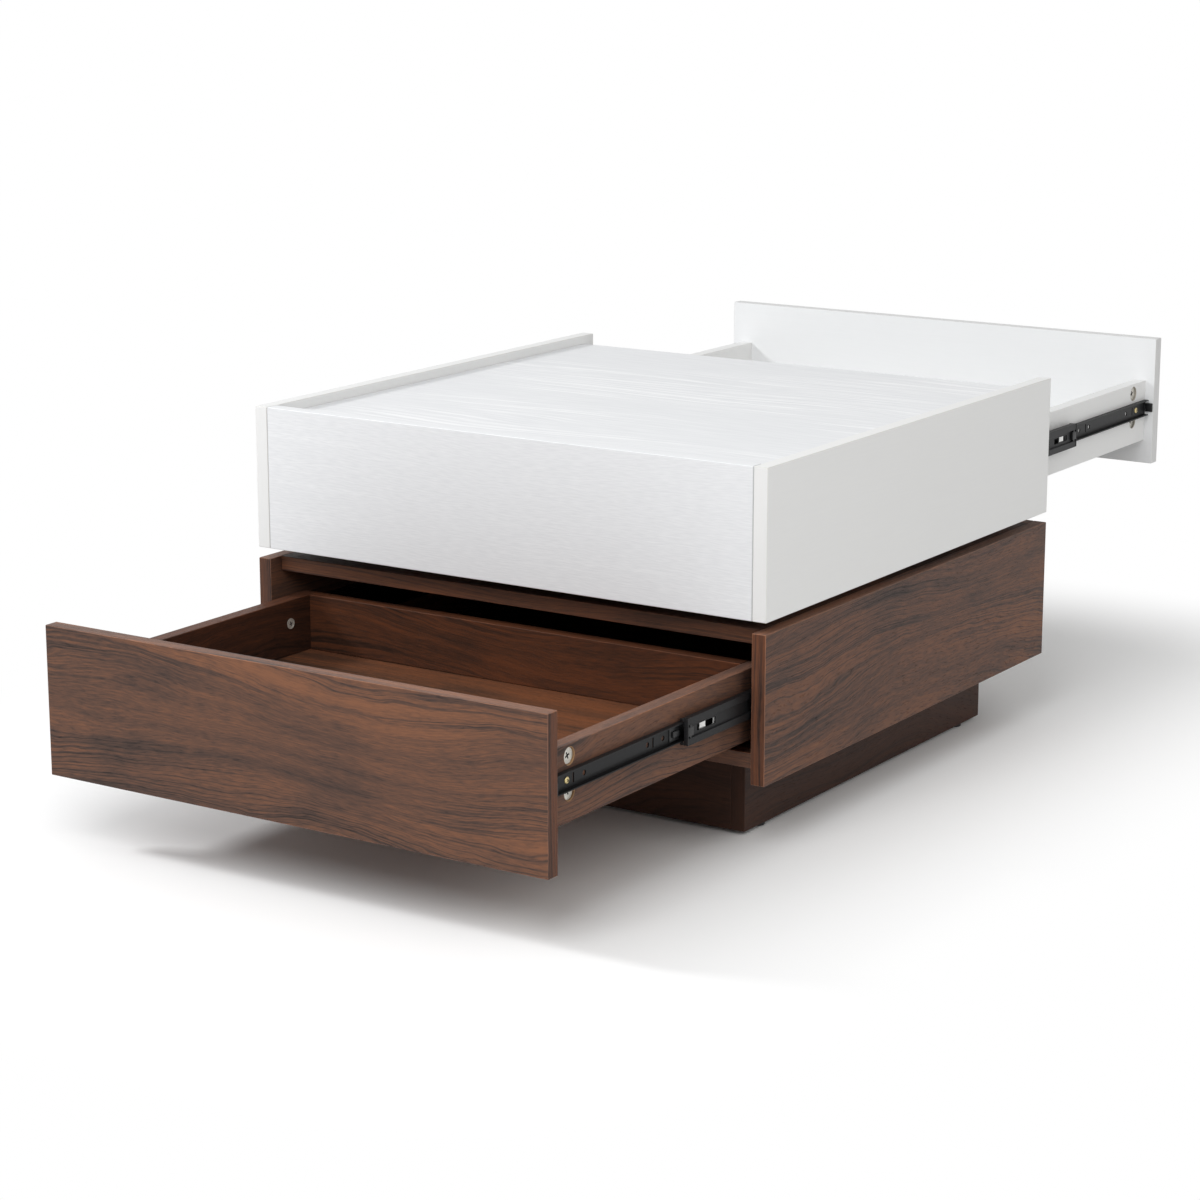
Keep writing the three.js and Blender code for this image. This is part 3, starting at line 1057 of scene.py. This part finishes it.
class PiercedStrip(Growth):
    """A strip with a row of round holes along Y."""

    sizes = {
        "Hole Count": 3,
        "First Hole": (0.0, 0.0, 0.0),
        "Hole Step": (0.0, 20 * MM, 0.0),
        "Hole Diameter": 8 * MM,
        "Bar Length": 6 * MM,
    }

    def shape(self) -> None:
        """Cuts bars along X out of the strip, one for each hole."""
        line = self.row(Count="Hole Count", Start_Location="First Hole", Offset="Hole Step")
        radius = self.maths("DIVIDE", self.given("Hole Diameter"), 2.0)
        sizes = {"Vertices": 32, "Radius": radius, "Depth": self.given("Bar Length")}
        bar = self.step("MeshCylinder", sizes)
        values = {"Points": line, "Instance": bar, "Rotation": (0.0, math.pi / 2, 0.0)}
        self.close(self.less(self.given("Geometry"), self.step("InstanceOnPoints", values)))


@cache
def tree(kind: type[Growth]) -> Growth:
    """The one tree of a kind, made when it is first asked for."""
    return kind()


def points_mesh(name: str, places: Sequence[tuple[Vector, Vector]]) -> bpy.types.Mesh:
    """Makes the points that heads are put on.

    Args:
        name: the mesh's name.
        places: each point and its outward direction.

    Returns:
        The mesh of points.
    """
    mesh = bpy.data.meshes.new(name)
    mesh.from_pydata([place for place, _ in places], [], [])
    outward = mesh.attributes.new("outward", "FLOAT_VECTOR", "POINT")
    for item, (_, direction) in zip(outward.data, places):
        item.vector = direction
    return mesh


@dataclass
class BoardWork:
    """Eases the edges of packed boards and gives each its own part of the print."""

    finish: Laminate
    ease: float = 0.9 * MM
    sheet_step: Point = (0.77, 1.31, 0.53)

    def dress(
        self,
        node: str,
        along: Axis,
        across: Axis,
        seed: int,
        tint: Colour = UNTINTED,
        plain_way: int = 0,
        butted: bool = False,
        bores: Bores | None = None,
    ) -> None:
        """Finishes one board.

        Args:
            node: the board's node.
            along: the way of its grain.
            across: the way of its width.
            seed: the number that picks its place on the sheet.
            tint: what the print's colour is multiplied by.
            plain_way: the sign of the thickness axis on whose face the print is plain, or 0.
            butted: whether its ends meet other boards.
            bores: the bores in it, if it has any.
        """
        place = tuple(step * seed for step in self.sheet_step)
        grain = Grain(along, across, place, tint, plain_way, butted)
        dress_node(node, self.finish.board_material(node, grain, bores), self.ease)


def dress_node(node: str, material: bpy.types.Material, ease: float) -> None:
    """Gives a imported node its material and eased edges.

    Args:
        node: the node's name.
        material: its material.
        ease: the width of its eased edges.
    """
    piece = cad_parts[node]
    piece.data.materials.clear()
    piece.data.materials.append(material)
    weld = piece.modifiers.new("weld", "WELD")
    weld.merge_threshold = 0.01 * MM
    flat = piece.modifiers.new("flat", "DECIMATE")
    flat.decimate_type = "DISSOLVE"
    flat.angle_limit = math.radians(0.5)
    bevel = piece.modifiers.new("ease", "BEVEL")
    bevel.width = ease
    bevel.segments = 2
    bevel.limit_method = "ANGLE"
    bevel.angle_limit = SHARP_OVER
    bevel.harden_normals = True
    LOG.info("%s: %s", node, material.name)


@dataclass
class Unit:
    """A unit of the table: its five boards, its drawer, its slides and its fittings."""

    word: str
    top_finish: Laminate
    front_finish: Laminate
    drawer_finish: Laminate
    side_finish: Laminate
    opening: Opening
    panel: str
    seed: int
    # Painted shade on the top board, which lies in the shadow of the gap under the upper unit.
    deck_tint: Colour = UNTINTED
    # Painted shade on the drawer back, whose inner face lies in shade inside the box.
    inner_tint: Colour = UNTINTED
    # Painted shade on the drawer's left side, whose inner face gets little light.
    left_tint: Colour = UNTINTED
    bottom_tint: Colour = UNTINTED

    def build(self) -> None:
        """Builds and dresses the whole unit."""
        self.dress_carcass()
        self.dress_drawer()
        CamFittings(self.word).build()
        for number, side in enumerate(Side):
            Slide(self.word, side, self.opening, self.seed + number).build()

    def dress_carcass(self) -> None:
        """Dresses the boards that stay in the unit."""
        top, sides = BoardWork(self.top_finish), BoardWork(self.side_finish)
        for number, side in enumerate(Side):
            node = f"{self.word}_side_{side.word}"
            sides.dress(node, Axis.Y, Axis.Z, self.seed + number)
        for number, level in enumerate(("bottom", "top")):
            node = f"{self.word}_{level}_board"
            # The top board gets the unit's painted shade.
            tint = self.deck_tint if level == "top" else UNTINTED
            top.dress(node, Axis.X, Axis.Y, self.seed + 2 + number, tint, butted=True)
        node = f"{self.word}_{self.panel}_panel"
        front = BoardWork(self.front_finish)
        front.dress(node, Axis.X, Axis.Z, self.seed + 4, butted=True)

    def dress_drawer(self) -> None:
        """Dresses the drawer's boards."""
        face, box = BoardWork(self.drawer_finish), BoardWork(self.side_finish)
        label = f"{self.word}_drawer"
        plain_way = -self.opening.value if self.drawer_finish is WHITE_DRAWER else 0
        face.dress(f"{label}_front", Axis.X, Axis.Z, self.seed + 5, plain_way=plain_way)
        # The drawer back gets the unit's painted shade.
        box.dress(f"{label}_back", Axis.X, Axis.Z, self.seed + 6, self.inner_tint, butted=True)
        box.dress(f"{label}_bottom", Axis.X, Axis.Y, self.seed + 7, self.bottom_tint)
        fittings = CamFittings(self.word)
        for number, side in enumerate(Side):
            node = f"{label}_side_{side.word}"
            # The left side gets the unit's painted shade.
            tint = self.left_tint if side is Side.LEFT else UNTINTED
            bores = fittings.bores(side, self.side_finish)
            box.dress(node, Axis.Y, Axis.Z, self.seed + 8 + number, tint, bores=bores)


@dataclass
class CamFittings:
    """The cam connectors in the outer faces of a drawer's sides, and the small discs inside."""

    word: str
    rim: float = 0.9 * MM
    gap: float = 0.2 * MM
    sink: float = 1.6 * MM
    disc_diameter: float = 11 * MM
    disc_proud: float = 0.7 * MM
    disc_from_end: float = 46 * MM
    disc_below_top: float = 24.5 * MM
    disc_dish: float = 0.2 * MM
    disc_cross_span: float = 4.84 * MM
    disc_cross_width: float = 1.2 * MM
    disc_cross_depth: float = 0.4 * MM

    def node(self, side: Side, level: str) -> str:
        """The name of a cam's node."""
        return f"{self.word}_drawer_{side.word}_{level}_cam"

    def centre(self, side: Side, level: str) -> Vector:
        """Finds the centre of a cam's outer face.

        Args:
            side: the drawer side that holds it.
            level: upper or lower.

        Returns:
            The place.
        """
        low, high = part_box(self.node(side, level))
        place = (low + high) / 2
        place.x = high.x if side is Side.RIGHT else low.x
        return place

    def bores(self, side: Side, finish: Laminate) -> Bores:
        """Finds the cams' bores in a drawer side.

        Args:
            side: the drawer side.
            finish: the drawer side's finish.

        Returns:
            The bores with the rims that show.
        """
        low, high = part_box(self.node(side, "upper"))
        centres = tuple(self.centre(side, level) for level in ("upper", "lower"))
        return Bores(centres, (high.z - low.z) / 2 + self.rim, finish.chipboard)

    def build(self) -> None:
        """Builds the cams and the discs of both sides."""
        for side in Side:
            outward = Vector((side.value, 0.0, 0.0))
            for level in ("upper", "lower"):
                name = f"{self.word}_drawer_{side.word}_{level}_cam_disc"
                spot = self.centre(side, level)
                low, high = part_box(self.node(side, level))
                base = points_mesh(name, [(spot - outward * self.sink, outward)])
                sizes = {"Cam_Diameter": high.z - low.z - 2 * self.gap}
                sizes["Body_Depth"] = high.x - low.x - self.sink
                piece = tree(CamDiscs).grow(name, base, CAM_ZINC, **sizes)
                settle(piece, f"{self.word}_drawer", CAM_ZINC, self.node(side, level))
            self.build_inner_disc(side)

    def build_inner_disc(self, side: Side) -> None:
        """Builds the small connector disc near the rear end of a drawer side's inner face.

        Args:
            side: the drawer side.
        """
        low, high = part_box(f"{self.word}_drawer_side_{side.word}")
        rear = low.y + self.disc_from_end if self.word == "upper" else high.y - self.disc_from_end
        face = low.x if side is Side.RIGHT else high.x
        inward = Vector((-side.value, 0.0, 0.0))
        spot = Vector((face - side.value * self.disc_proud, rear, high.z - self.disc_below_top))
        name = f"{self.word}_drawer_{side.word}_inner_connector"
        base = points_mesh(name, [(spot, inward)])
        piece = tree(CamDiscs).grow(
            name,
            base,
            CAM_ZINC,
            Cam_Diameter=self.disc_diameter,
            Body_Depth=self.disc_proud - CLEARANCE,
            Dish_Depth=self.disc_dish,
            Recess_Span=self.disc_cross_span,
            Recess_Width=self.disc_cross_width,
            Recess_Depth=self.disc_cross_depth,
        )
        settle(piece, f"{self.word}_drawer", CAM_ZINC)


@dataclass
class Slide:
    """A ball bearing slide: members, cages, balls, screws, stops and lever."""

    word: str
    side: Side
    opening: Opening
    seed: int
    sheet: float = 1.2 * MM
    cage_sheet: float = 0.6 * MM
    ease: float = 0.35 * MM
    cage_reach: float = 17.3 * MM
    neck: float = 9.5 * MM
    inner_hole: float = 14 * MM
    outer_hole_share: float = 0.62
    hole_margin: float = 1.7 * MM
    hole_bar: float = 4 * MM
    row_end: float = 8 * MM
    screw_places: tuple[float, float] = (26 * MM, 300 * MM)
    fixing_places: tuple[float, float] = (36 * MM, 260 * MM)
    unit_head_height: float = 0.9 * MM
    unit_recess_depth: float = 0.5 * MM
    lever_place: float = 190.5 * MM
    bumper_reach: float = 10.3 * MM
    bumper_length: float = 1.7 * MM
    bumper_half_height: float = 5 * MM
    bumper_round: float = 0.6 * MM
    stop_round: float = 0.35 * MM

    @property
    def seat(self) -> float:
        """How far from the drawer box's side the small pieces on the drawer member begin."""
        return self.sheet + CLEARANCE

    @property
    def outward(self) -> Vector:
        """The direction from the drawer to the unit's side."""
        return Vector((self.side.value, 0.0, 0.0))

    @property
    def label(self) -> str:
        """The start of the names of the slide's pieces."""
        return f"{self.word}_slide_{self.side.word}"

    @property
    def home(self) -> str:
        """The body that the outer member is fixed to."""
        return "base" if self.word == "lower" else "upper_unit"

    def cage_body(self, kind: str) -> str:
        """The body that a cage and its balls make."""
        return f"{self.word}_{self.side.word}_{kind}_balls"

    def build(self) -> None:
        """Builds and dresses every part of the slide."""
        for member in ("outer", "middle"):
            dress_node(f"{self.label}_{member}_member", SLIDE_STEEL.material(), self.ease)
        inner = f"{self.label}_inner_member"
        low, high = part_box(inner)
        steel = asdict(SLIDE_STEEL) | {"name": f"{self.word}_track_steel"}
        # The inner member's lower track gets painted shade.
        track = TrackSteel(**steel, centre=round((low.z + high.z) / 2, 5))
        dress_node(inner, track.material(), self.ease)
        self.build_cage("outer", 3 * MM, 9)
        self.build_cage("inner", 2.5 * MM, 5)
        self.build_screws()
        self.build_lever()
        self.build_bumper()
        self.build_end_stop()

    def place(self, node: str, u: float, back: float, v: float) -> Vector:
        """A place on the slide.

        Args:
            node: the member from whose front end the place is measured.
            u: the distance from the drawer box's side towards the unit's side.
            back: the distance behind the member's front end.
            v: the height over the slide's centre line.

        Returns:
            The place in the shared frame.
        """
        low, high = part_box(f"{self.label}_{node}")
        own_low, own_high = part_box(f"{self.label}_inner_member")
        face = own_low.x if self.side is Side.RIGHT else own_high.x
        front = low.y if self.opening is Opening.FRONT else high.y
        centre = (own_low.z + own_high.z) / 2
        return Vector((face + self.side.value * u, front - self.opening.value * back, centre + v))

    def block(self, name: str, node: str, low: Point, high: Point, radius: float) -> Piece:
        """Makes a rounded plastic block.

        Args:
            name: the piece's name.
            node: the member that it is measured from.
            low: the place of one corner on the slide.
            high: the place of the other corner.
            radius: the rounding of its edges.

        Returns:
            The piece.
        """
        ends = (self.place(node, *low), self.place(node, *high))
        corners = (Vector(map(min, *ends)), Vector(map(max, *ends)))
        return new_piece(name, rounded_block(*corners, radius), STOP_PLASTIC)

    def build_cage(self, kind: str, ball: float, count: int) -> None:
        """Builds a ball cage and its two rows of balls.

        Args:
            kind: outer or inner.
            ball: the balls' diameter.
            count: the balls in each row.
        """
        node = f"{self.label}_{kind}_cage"
        low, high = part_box(node)
        length = high.y - low.y
        centre = (low + high) / 2
        reach = self.cage_reach if kind == "inner" else 0.0
        front, rear = (low.y, high.y) if self.opening is Opening.FRONT else (high.y, low.y)
        front += self.opening.value * reach
        outward = self.side.value
        web = high.x if outward > 0 else low.x
        edge = low.x if outward > 0 else high.x
        row = (high.z - low.z) / 2 - ball / 2
        half = self.cage_sheet / 2
        outline = [
            (web, row + half),
            (edge, row + half),
            (edge, row - half),
            (web - outward * self.cage_sheet, row - half),
        ]
        outline += [(x, -z) for x, z in reversed(outline)]
        shape = bmesh.new()
        ring = [shape.verts.new((x, front, centre.z + z)) for x, z in outline]
        face = shape.faces.new(ring)
        grown = bmesh.ops.extrude_face_region(shape, geom=[face])
        moved = [part for part in grown["geom"] if isinstance(part, bmesh.types.BMVert)]
        bmesh.ops.translate(shape, verts=moved, vec=(0.0, rear - front, 0.0))
        strip = mesh_of(node, shape)
        hole = self.outer_hole_share * 2 * row if kind == "outer" else self.inner_hole
        margin, pitch = hole / 2 + self.hole_margin, hole + self.neck
        first = Vector((web, front - self.opening.value * margin, centre.z))
        onward = Vector((0.0, -self.opening.value * pitch, 0.0))
        holes = int((length + reach - 2 * margin) / pitch) + 1
        cage = tree(PiercedStrip).grow(
            f"{node}_strip",
            strip,
            CAGE_ZINC,
            First_Hole=first,
            Hole_Step=onward,
            Hole_Count=holes,
            Hole_Diameter=hole,
            Bar_Length=self.hole_bar,
        )
        settle(cage, self.cage_body(kind), CAGE_ZINC, node)
        step = (length - 2 * self.row_end) / (count - 1)
        balls = tree(BallRows).grow(
            f"{node}_ball_rows",
            bpy.data.meshes.new(f"{node}_balls"),
            BALL_STEEL,
            Start=Vector((edge + outward * ball / 2, low.y + self.row_end, centre.z - row)),
            Step=Vector((0.0, step, 0.0)),
            Row_Gap=Vector((0.0, 0.0, 2 * row)),
            Count=count,
            Ball_Diameter=ball,
        )
        settle(balls, self.cage_body(kind), BALL_STEEL)

    def build_screws(self) -> None:
        """Builds the screws that hold the drawer member and the outer member."""
        name = f"{self.label}_drawer_screws"
        spots = (self.place("inner_member", self.seat, back, 0.0) for back in self.screw_places)
        places = [(spot, self.outward) for spot in spots]
        piece = tree(ScrewHeads).grow(name, points_mesh(name, places), SCREW_BRASS, Seed=self.seed)
        settle(piece, f"{self.word}_drawer", SCREW_BRASS)
        name = f"{self.label}_unit_screws"
        low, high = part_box(f"{self.label}_outer_member")
        web = (high.x if self.side is Side.RIGHT else low.x) - self.side.value * self.seat
        places = []
        for back in self.fixing_places:
            spot = self.place("outer_member", 0.0, back, 0.0)
            spot.x = web
            places.append((spot, -self.outward))
        sizes = {"Head_Height": self.unit_head_height, "Recess_Depth": self.unit_recess_depth}
        sizes["Seed"] = self.seed + 7
        piece = tree(ScrewHeads).grow(name, points_mesh(name, places), SCREW_BRASS, **sizes)
        settle(piece, self.home, SCREW_BRASS)

    def build_lever(self) -> None:
        """Builds the release lever on the drawer member: a plate and a round-ended finger piece."""
        parts = (
            ("lever_plate", (0.0, 0.0, -6.8), (0.8, 15.5, 6.8), 0.3),
            ("release_lever", (0.83, 3.2, -3.0), (3.1, 13.5, 3.0), 1.1),
        )
        start = Vector((self.seat, self.lever_place, 0.0))
        for word, low, high, radius in parts:
            corners = (start + Vector(corner) * MM for corner in (low, high))
            piece = self.block(f"{self.label}_{word}", "inner_member", *corners, radius * MM)
            settle(piece, f"{self.word}_drawer", STOP_PLASTIC)

    def build_bumper(self) -> None:
        """Builds the bumper at the front end of the drawer member."""
        low = (self.seat, -self.bumper_length, -self.bumper_half_height)
        high = (self.bumper_reach, 0.0, self.bumper_half_height)
        name = f"{self.label}_bumper"
        piece = self.block(name, "inner_member", low, high, self.bumper_round)
        settle(piece, f"{self.word}_drawer", STOP_PLASTIC)

    def build_end_stop(self) -> None:
        """Builds the plastic retainer round the front end of the middle member."""
        body = f"{self.word}_{self.side.word}_middle"
        parts = (
            ("retainer_web", (6.1, -0.9, -12.6), (10.9, -0.05, 12.6)),
            ("retainer_top", (1.7, -0.9, 9.5), (6.0, -0.05, 12.6)),
            ("retainer_foot", (1.7, -0.9, -12.6), (6.0, -0.05, -9.5)),
            ("retainer_tongue", (8.15, 0.2, -4.2), (10.7, 9.0, 4.2)),
            ("retainer_bar", (8.15, 3.4, -6.2), (10.2, 6.2, 6.2)),
        )
        for word, low, high in parts:
            corners = (tuple(c * MM for c in corner) for corner in (low, high))
            name = f"{self.label}_{word}"
            piece = self.block(name, "middle_member", *corners, self.stop_round)
            settle(piece, body, STOP_PLASTIC)


@dataclass
class Plinth:
    """The plinth frame and its glides, whose outline is in shares of their radius and height."""

    seed: int = 31
    # Painted shade: the plinth lies in the shadow under the drawer and the units.
    tint: Colour = (0.45, 0.41, 0.40)
    glide_segments: int = 48
    glide_outline: tuple[tuple[float, float], ...] = (
        (0.0, 0.0),
        (0.72, 0.0),
        (0.88, 0.08),
        (1.0, 0.3),
        (1.0, 1.0),
        (0.0, 1.0),
    )

    def build(self) -> None:
        """Dresses the frame's boards and builds the glides."""
        work = BoardWork(PLINTH_WALNUT)
        # The boards get the plinth's painted shade.
        for number, word in enumerate(("front", "back")):
            work.dress(f"plinth_{word}", Axis.X, Axis.Z, self.seed + number, self.tint)
        for number, side in enumerate(Side, 2):
            work.dress(f"plinth_{side.word}", Axis.Y, Axis.Z, self.seed + number, self.tint)
            for end in ("front", "back"):
                self.build_glide(f"glide_{end}_{side.word}")

    def build_glide(self, node: str) -> None:
        """Builds a domed glide in the place of its node.

        Args:
            node: the glide's node.
        """
        low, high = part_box(node)
        radius, height = (high.x - low.x) / 2, high.z - low.z
        centre = Vector(((low.x + high.x) / 2, (low.y + high.y) / 2, low.z))
        profile = [(out * radius, up * height) for out, up in self.glide_outline]
        shape = revolved(profile, Matrix.Translation(centre), self.glide_segments)
        piece = new_piece(f"{node}_foot", shape, GLIDE_PLASTIC)
        settle(piece, "base", GLIDE_PLASTIC, node)


@dataclass
class SwivelBearing:
    """The ring bearing between the units: two pressed rings, a cage, balls and screws."""

    segments: int = 144
    plate: float = 2 * MM
    lip: float = 1 * MM
    play: float = 0.3 * MM
    ball: float = 5 * MM
    ring_width: float = 32 * MM
    cage_half: tuple[float, float] = (1.2 * MM, 0.5 * MM)
    screws: int = 8
    head_height: float = 1.4 * MM
    seed: int = 40

    def __post_init__(self) -> None:
        """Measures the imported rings."""
        low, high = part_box("swivel_lower_ring")
        self.row = (high.x - low.x) / 2 - self.ring_width / 2
        self.bottom, self.top = low.z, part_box("swivel_upper_ring")[1].z

    def build(self) -> None:
        """Builds both rings with their screws, the cage and the balls."""
        self.build_ring("lower", "base", 1)
        self.build_ring("upper", "upper_unit", -1)
        self.build_cage()

    def section(self) -> list[tuple[float, float]]:
        """Draws the section of the lower ring.

        Returns:
            How far outside the ball row and how high over its board each corner is.
        """
        gap = self.top - self.bottom
        reach = self.ball / 2 + self.play
        lip_low = gap - self.plate - self.play - self.lip
        rise = lip_low - gap / 2 - self.play
        lip_reach = math.sqrt((self.ball / 2) ** 2 - rise**2)
        half = self.ring_width / 2
        return [
            (-half, 0.0),
            (half, 0.0),
            (half, self.plate),
            (reach + self.plate, self.plate),
            (reach + self.plate, lip_low + self.lip),
            (lip_reach, lip_low + self.lip),
            (lip_reach, lip_low),
            (reach, lip_low),
            (reach, self.plate),
            (-half, self.plate),
            (-half, 0.0),
        ]

    def build_ring(self, word: str, body: str, fold: int) -> None:
        """Builds one ring and its screws.

        Args:
            word: lower or upper.
            body: the body that carries it.
            fold: 1 for the lower ring, -1 for the upper one, which is turned over.
        """
        base = self.bottom if fold > 0 else self.top
        profile = [(self.row + fold * out, base + fold * up) for out, up in self.section()]
        shape = revolved(profile, Matrix.Identity(4), self.segments)
        ring = new_piece(f"swivel_{word}_bearing_ring", shape, RING_STEEL)
        settle(ring, body, RING_STEEL, f"swivel_{word}_ring")
        spread = self.row - fold * self.ring_width / 3
        height = base + fold * (self.plate + CLEARANCE)
        places = []
        for number in range(self.screws):
            angle = 2 * math.pi * (number + 0.5) / self.screws
            spot = Vector((spread * math.cos(angle), spread * math.sin(angle), height))
            places.append((spot, Vector((0.0, 0.0, fold))))
        name = f"swivel_{word}_ring_screws"
        sizes = {"Head_Height": self.head_height, "Seed": self.seed + fold}
        piece = tree(ScrewHeads).grow(name, points_mesh(name, places), SCREW_STEEL, **sizes)
        settle(piece, body, SCREW_STEEL)

    def build_cage(self) -> None:
        """Builds the cage between the rings and the balls in it."""
        low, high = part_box("swivel_ball_cage")
        middle = (low.z + high.z) / 2
        half_width, half_height = self.cage_half
        corners = ((-1, -1), (1, -1), (1, 1), (-1, 1), (-1, -1))
        profile = [(self.row + a * half_width, middle + b * half_height) for a, b in corners]
        shape = revolved(profile, Matrix.Identity(4), self.segments)
        cage = new_piece("swivel_ball_cage_ring", shape, STOP_PLASTIC)
        settle(cage, "swivel_balls", STOP_PLASTIC, "swivel_ball_cage")
        balls = tree(BallRing).grow(
            "swivel_balls_steel",
            bpy.data.meshes.new("swivel_ball_points"),
            BALL_STEEL,
            Row_Radius=self.row,
            Centre=Vector((0.0, 0.0, middle)),
            Ball_Diameter=self.ball,
        )
        settle(balls, "swivel_balls", BALL_STEEL)


@dataclass
class SoftBox:
    """A soft studio lamp that faces the table."""

    name: str
    towards: Point
    distance: float
    size: float
    level: float
    colour: Colour

    def build(self, target: Vector) -> None:
        """Hangs the lamp.

        Args:
            target: what it faces.
        """
        data = bpy.data.lights.new(self.name, "AREA")
        data.shape = "SQUARE"
        data.size = self.size
        data.energy = self.level * (math.pi * self.distance) ** 2
        data.color = self.colour
        lamp = linked(self.name, data)
        away = Vector(self.towards).normalized()
        lamp.location = target + away * self.distance
        lamp.rotation_euler = away.to_track_quat("Z", "Y").to_euler()


@dataclass
class Studio:
    """Floor, lamps, surroundings and camera."""

    camera_place: Point = (1.67806, -2.68125, 0.90696)
    camera_down: float = 13.458
    camera_turn: float = 33.239
    lens: float = 92.343
    sensor: float = 36.0
    floor_reach: float = 14.0
    fade_centre: Point = (-0.06, -0.06, 0.0)
    fade_start: float = 0.04
    fade_end: float = 0.36
    floor_tone: float = 0.90
    sky: float = 0.50
    target: Point = (0.0, 0.0, 0.2)
    lamps: tuple[SoftBox, ...] = (
        SoftBox("left_softbox", (-0.80, -0.45, 0.58), 3.4, 0.5, 0.42, (0.98, 0.99, 1.0)),
        SoftBox("front_softbox", (0.22, -0.90, 0.74), 3.4, 1.8, 0.38, (0.99, 0.995, 1.0)),
        SoftBox("right_softbox", (0.86, -0.25, 0.62), 3.4, 1.8, 0.13, (1.0, 0.99, 0.95)),
    )

    def build(self) -> None:
        """Builds the studio."""
        bpy.context.scene.view_settings.view_transform = "Standard"
        self.build_camera()
        for lamp in self.lamps:
            lamp.build(Vector(self.target))
        self.build_surroundings()
        self.build_floor()

    def build_camera(self) -> None:
        """Stands the camera where the table is seen from."""
        data = bpy.data.cameras.new("camera")
        data.lens = self.lens
        data.sensor_width = self.sensor
        camera = linked("camera", data)
        camera.location = self.camera_place
        camera.rotation_euler = (
            math.radians(90 - self.camera_down),
            0.0,
            math.radians(self.camera_turn),
        )
        bpy.context.scene.camera = camera

    def seen(self, graph: ShaderGraph) -> Socket:
        """Is 1 for what the camera sees, straight, mirrored or through glass.

        Args:
            graph: the graph that gets the nodes.

        Returns:
            The socket.
        """
        path = graph.node("ShaderNodeLightPath")
        straight = path.outputs["Is Camera Ray"]
        mirrored = path.outputs["Is Glossy Ray"]
        through = path.outputs["Is Transmission Ray"]
        return graph.maths("MAXIMUM", straight, graph.maths("MAXIMUM", mirrored, through))

    def build_surroundings(self) -> None:
        """Makes white surroundings that light the table softly."""
        world = bpy.data.worlds.new("surroundings")
        world.use_nodes = True
        bpy.context.scene.world = world
        graph = ShaderGraph(world.node_tree)
        values = {"Value": self.seen(graph), "To Min": self.sky, "To Max": 1.0}
        strength = graph.node("ShaderNodeMapRange", values)
        background = world.node_tree.nodes["Background"]
        background.inputs["Color"].default_value = opaque(UNTINTED)
        graph.feed(background.inputs["Strength"], strength.outputs[0])

    def build_floor(self) -> None:
        """Lays a white floor that keeps the shadow near the table and fades to white."""
        shape = bmesh.new()
        bmesh.ops.create_grid(shape, x_segments=4, y_segments=4, size=self.floor_reach)
        mesh = bpy.data.meshes.new("floor")
        shape.to_mesh(mesh)
        shape.free()
        linked("floor", mesh)
        material = bpy.data.materials.new("floor_white")
        material.use_nodes = True
        mesh.materials.append(material)
        graph = ShaderGraph(material.node_tree)
        material.node_tree.nodes.remove(material.node_tree.nodes["Principled BSDF"])
        low, high = CAD_BOX
        half = Vector(((high.x - low.x) / 2, (high.y - low.y) / 2, 0.0))
        place = graph.node("ShaderNodeTexCoord").outputs["Object"]
        place = graph.vector("ABSOLUTE", graph.vector("SUBTRACT", place, self.fade_centre))
        outside = graph.vector("SUBTRACT", place, half)
        outside = graph.vector("MAXIMUM", outside, (0.0, 0.0, 0.0))
        far = graph.between(graph.length(outside), self.fade_start, self.fade_end)
        seen = self.seen(graph)
        fade = graph.maths("MULTIPLY", far, seen)
        cast, shown = (
            graph.node("ShaderNodeBsdfDiffuse", {"Color": (tone, tone, tone, 1.0)}).outputs[0]
            for tone in (self.floor_tone, 1.0)
        )
        white = graph.node("ShaderNodeEmission", {"Strength": 1.0}).outputs[0]
        direct = graph.node("ShaderNodeMixShader", {0: seen, 1: cast, 2: shown}).outputs[0]
        mixed = graph.node("ShaderNodeMixShader", {0: fade, 1: direct, 2: white}).outputs[0]
        graph.feed(material.node_tree.nodes["Material Output"].inputs["Surface"], mixed)


def main() -> None:
    """Builds the studio and the table, part by part."""
    logging.basicConfig(level=logging.INFO, format="%(name)s: %(message)s")
    Studio().build()
    Plinth().build()
    walnut = (WALNUT, WALNUT, WALNUT, WALNUT)
    # Painted shade: the lower top board, in the shadow of the gap, and the drawer back, whose inner
    # face lies in shade, are darkened.
    tints = {"deck_tint": (0.62, 0.55, 0.50), "inner_tint": (0.56, 0.43, 0.35)}
    # Painted shade on the drawer's left side, whose inner face gets little light.
    tints |= {"left_tint": (0.45, 0.35, 0.30), "bottom_tint": (1.05, 0.85, 0.66)}
    Unit("lower", *walnut, Opening.FRONT, "back", seed=3, **tints).build()
    white = (WHITE_TOP, WHITE_FRONT, WHITE_DRAWER, SMOOTH_WHITE)
    Unit("upper", *white, Opening.BACK, "front", seed=17).build()
    SwivelBearing().build()


if __name__ == "__main__":
    main()
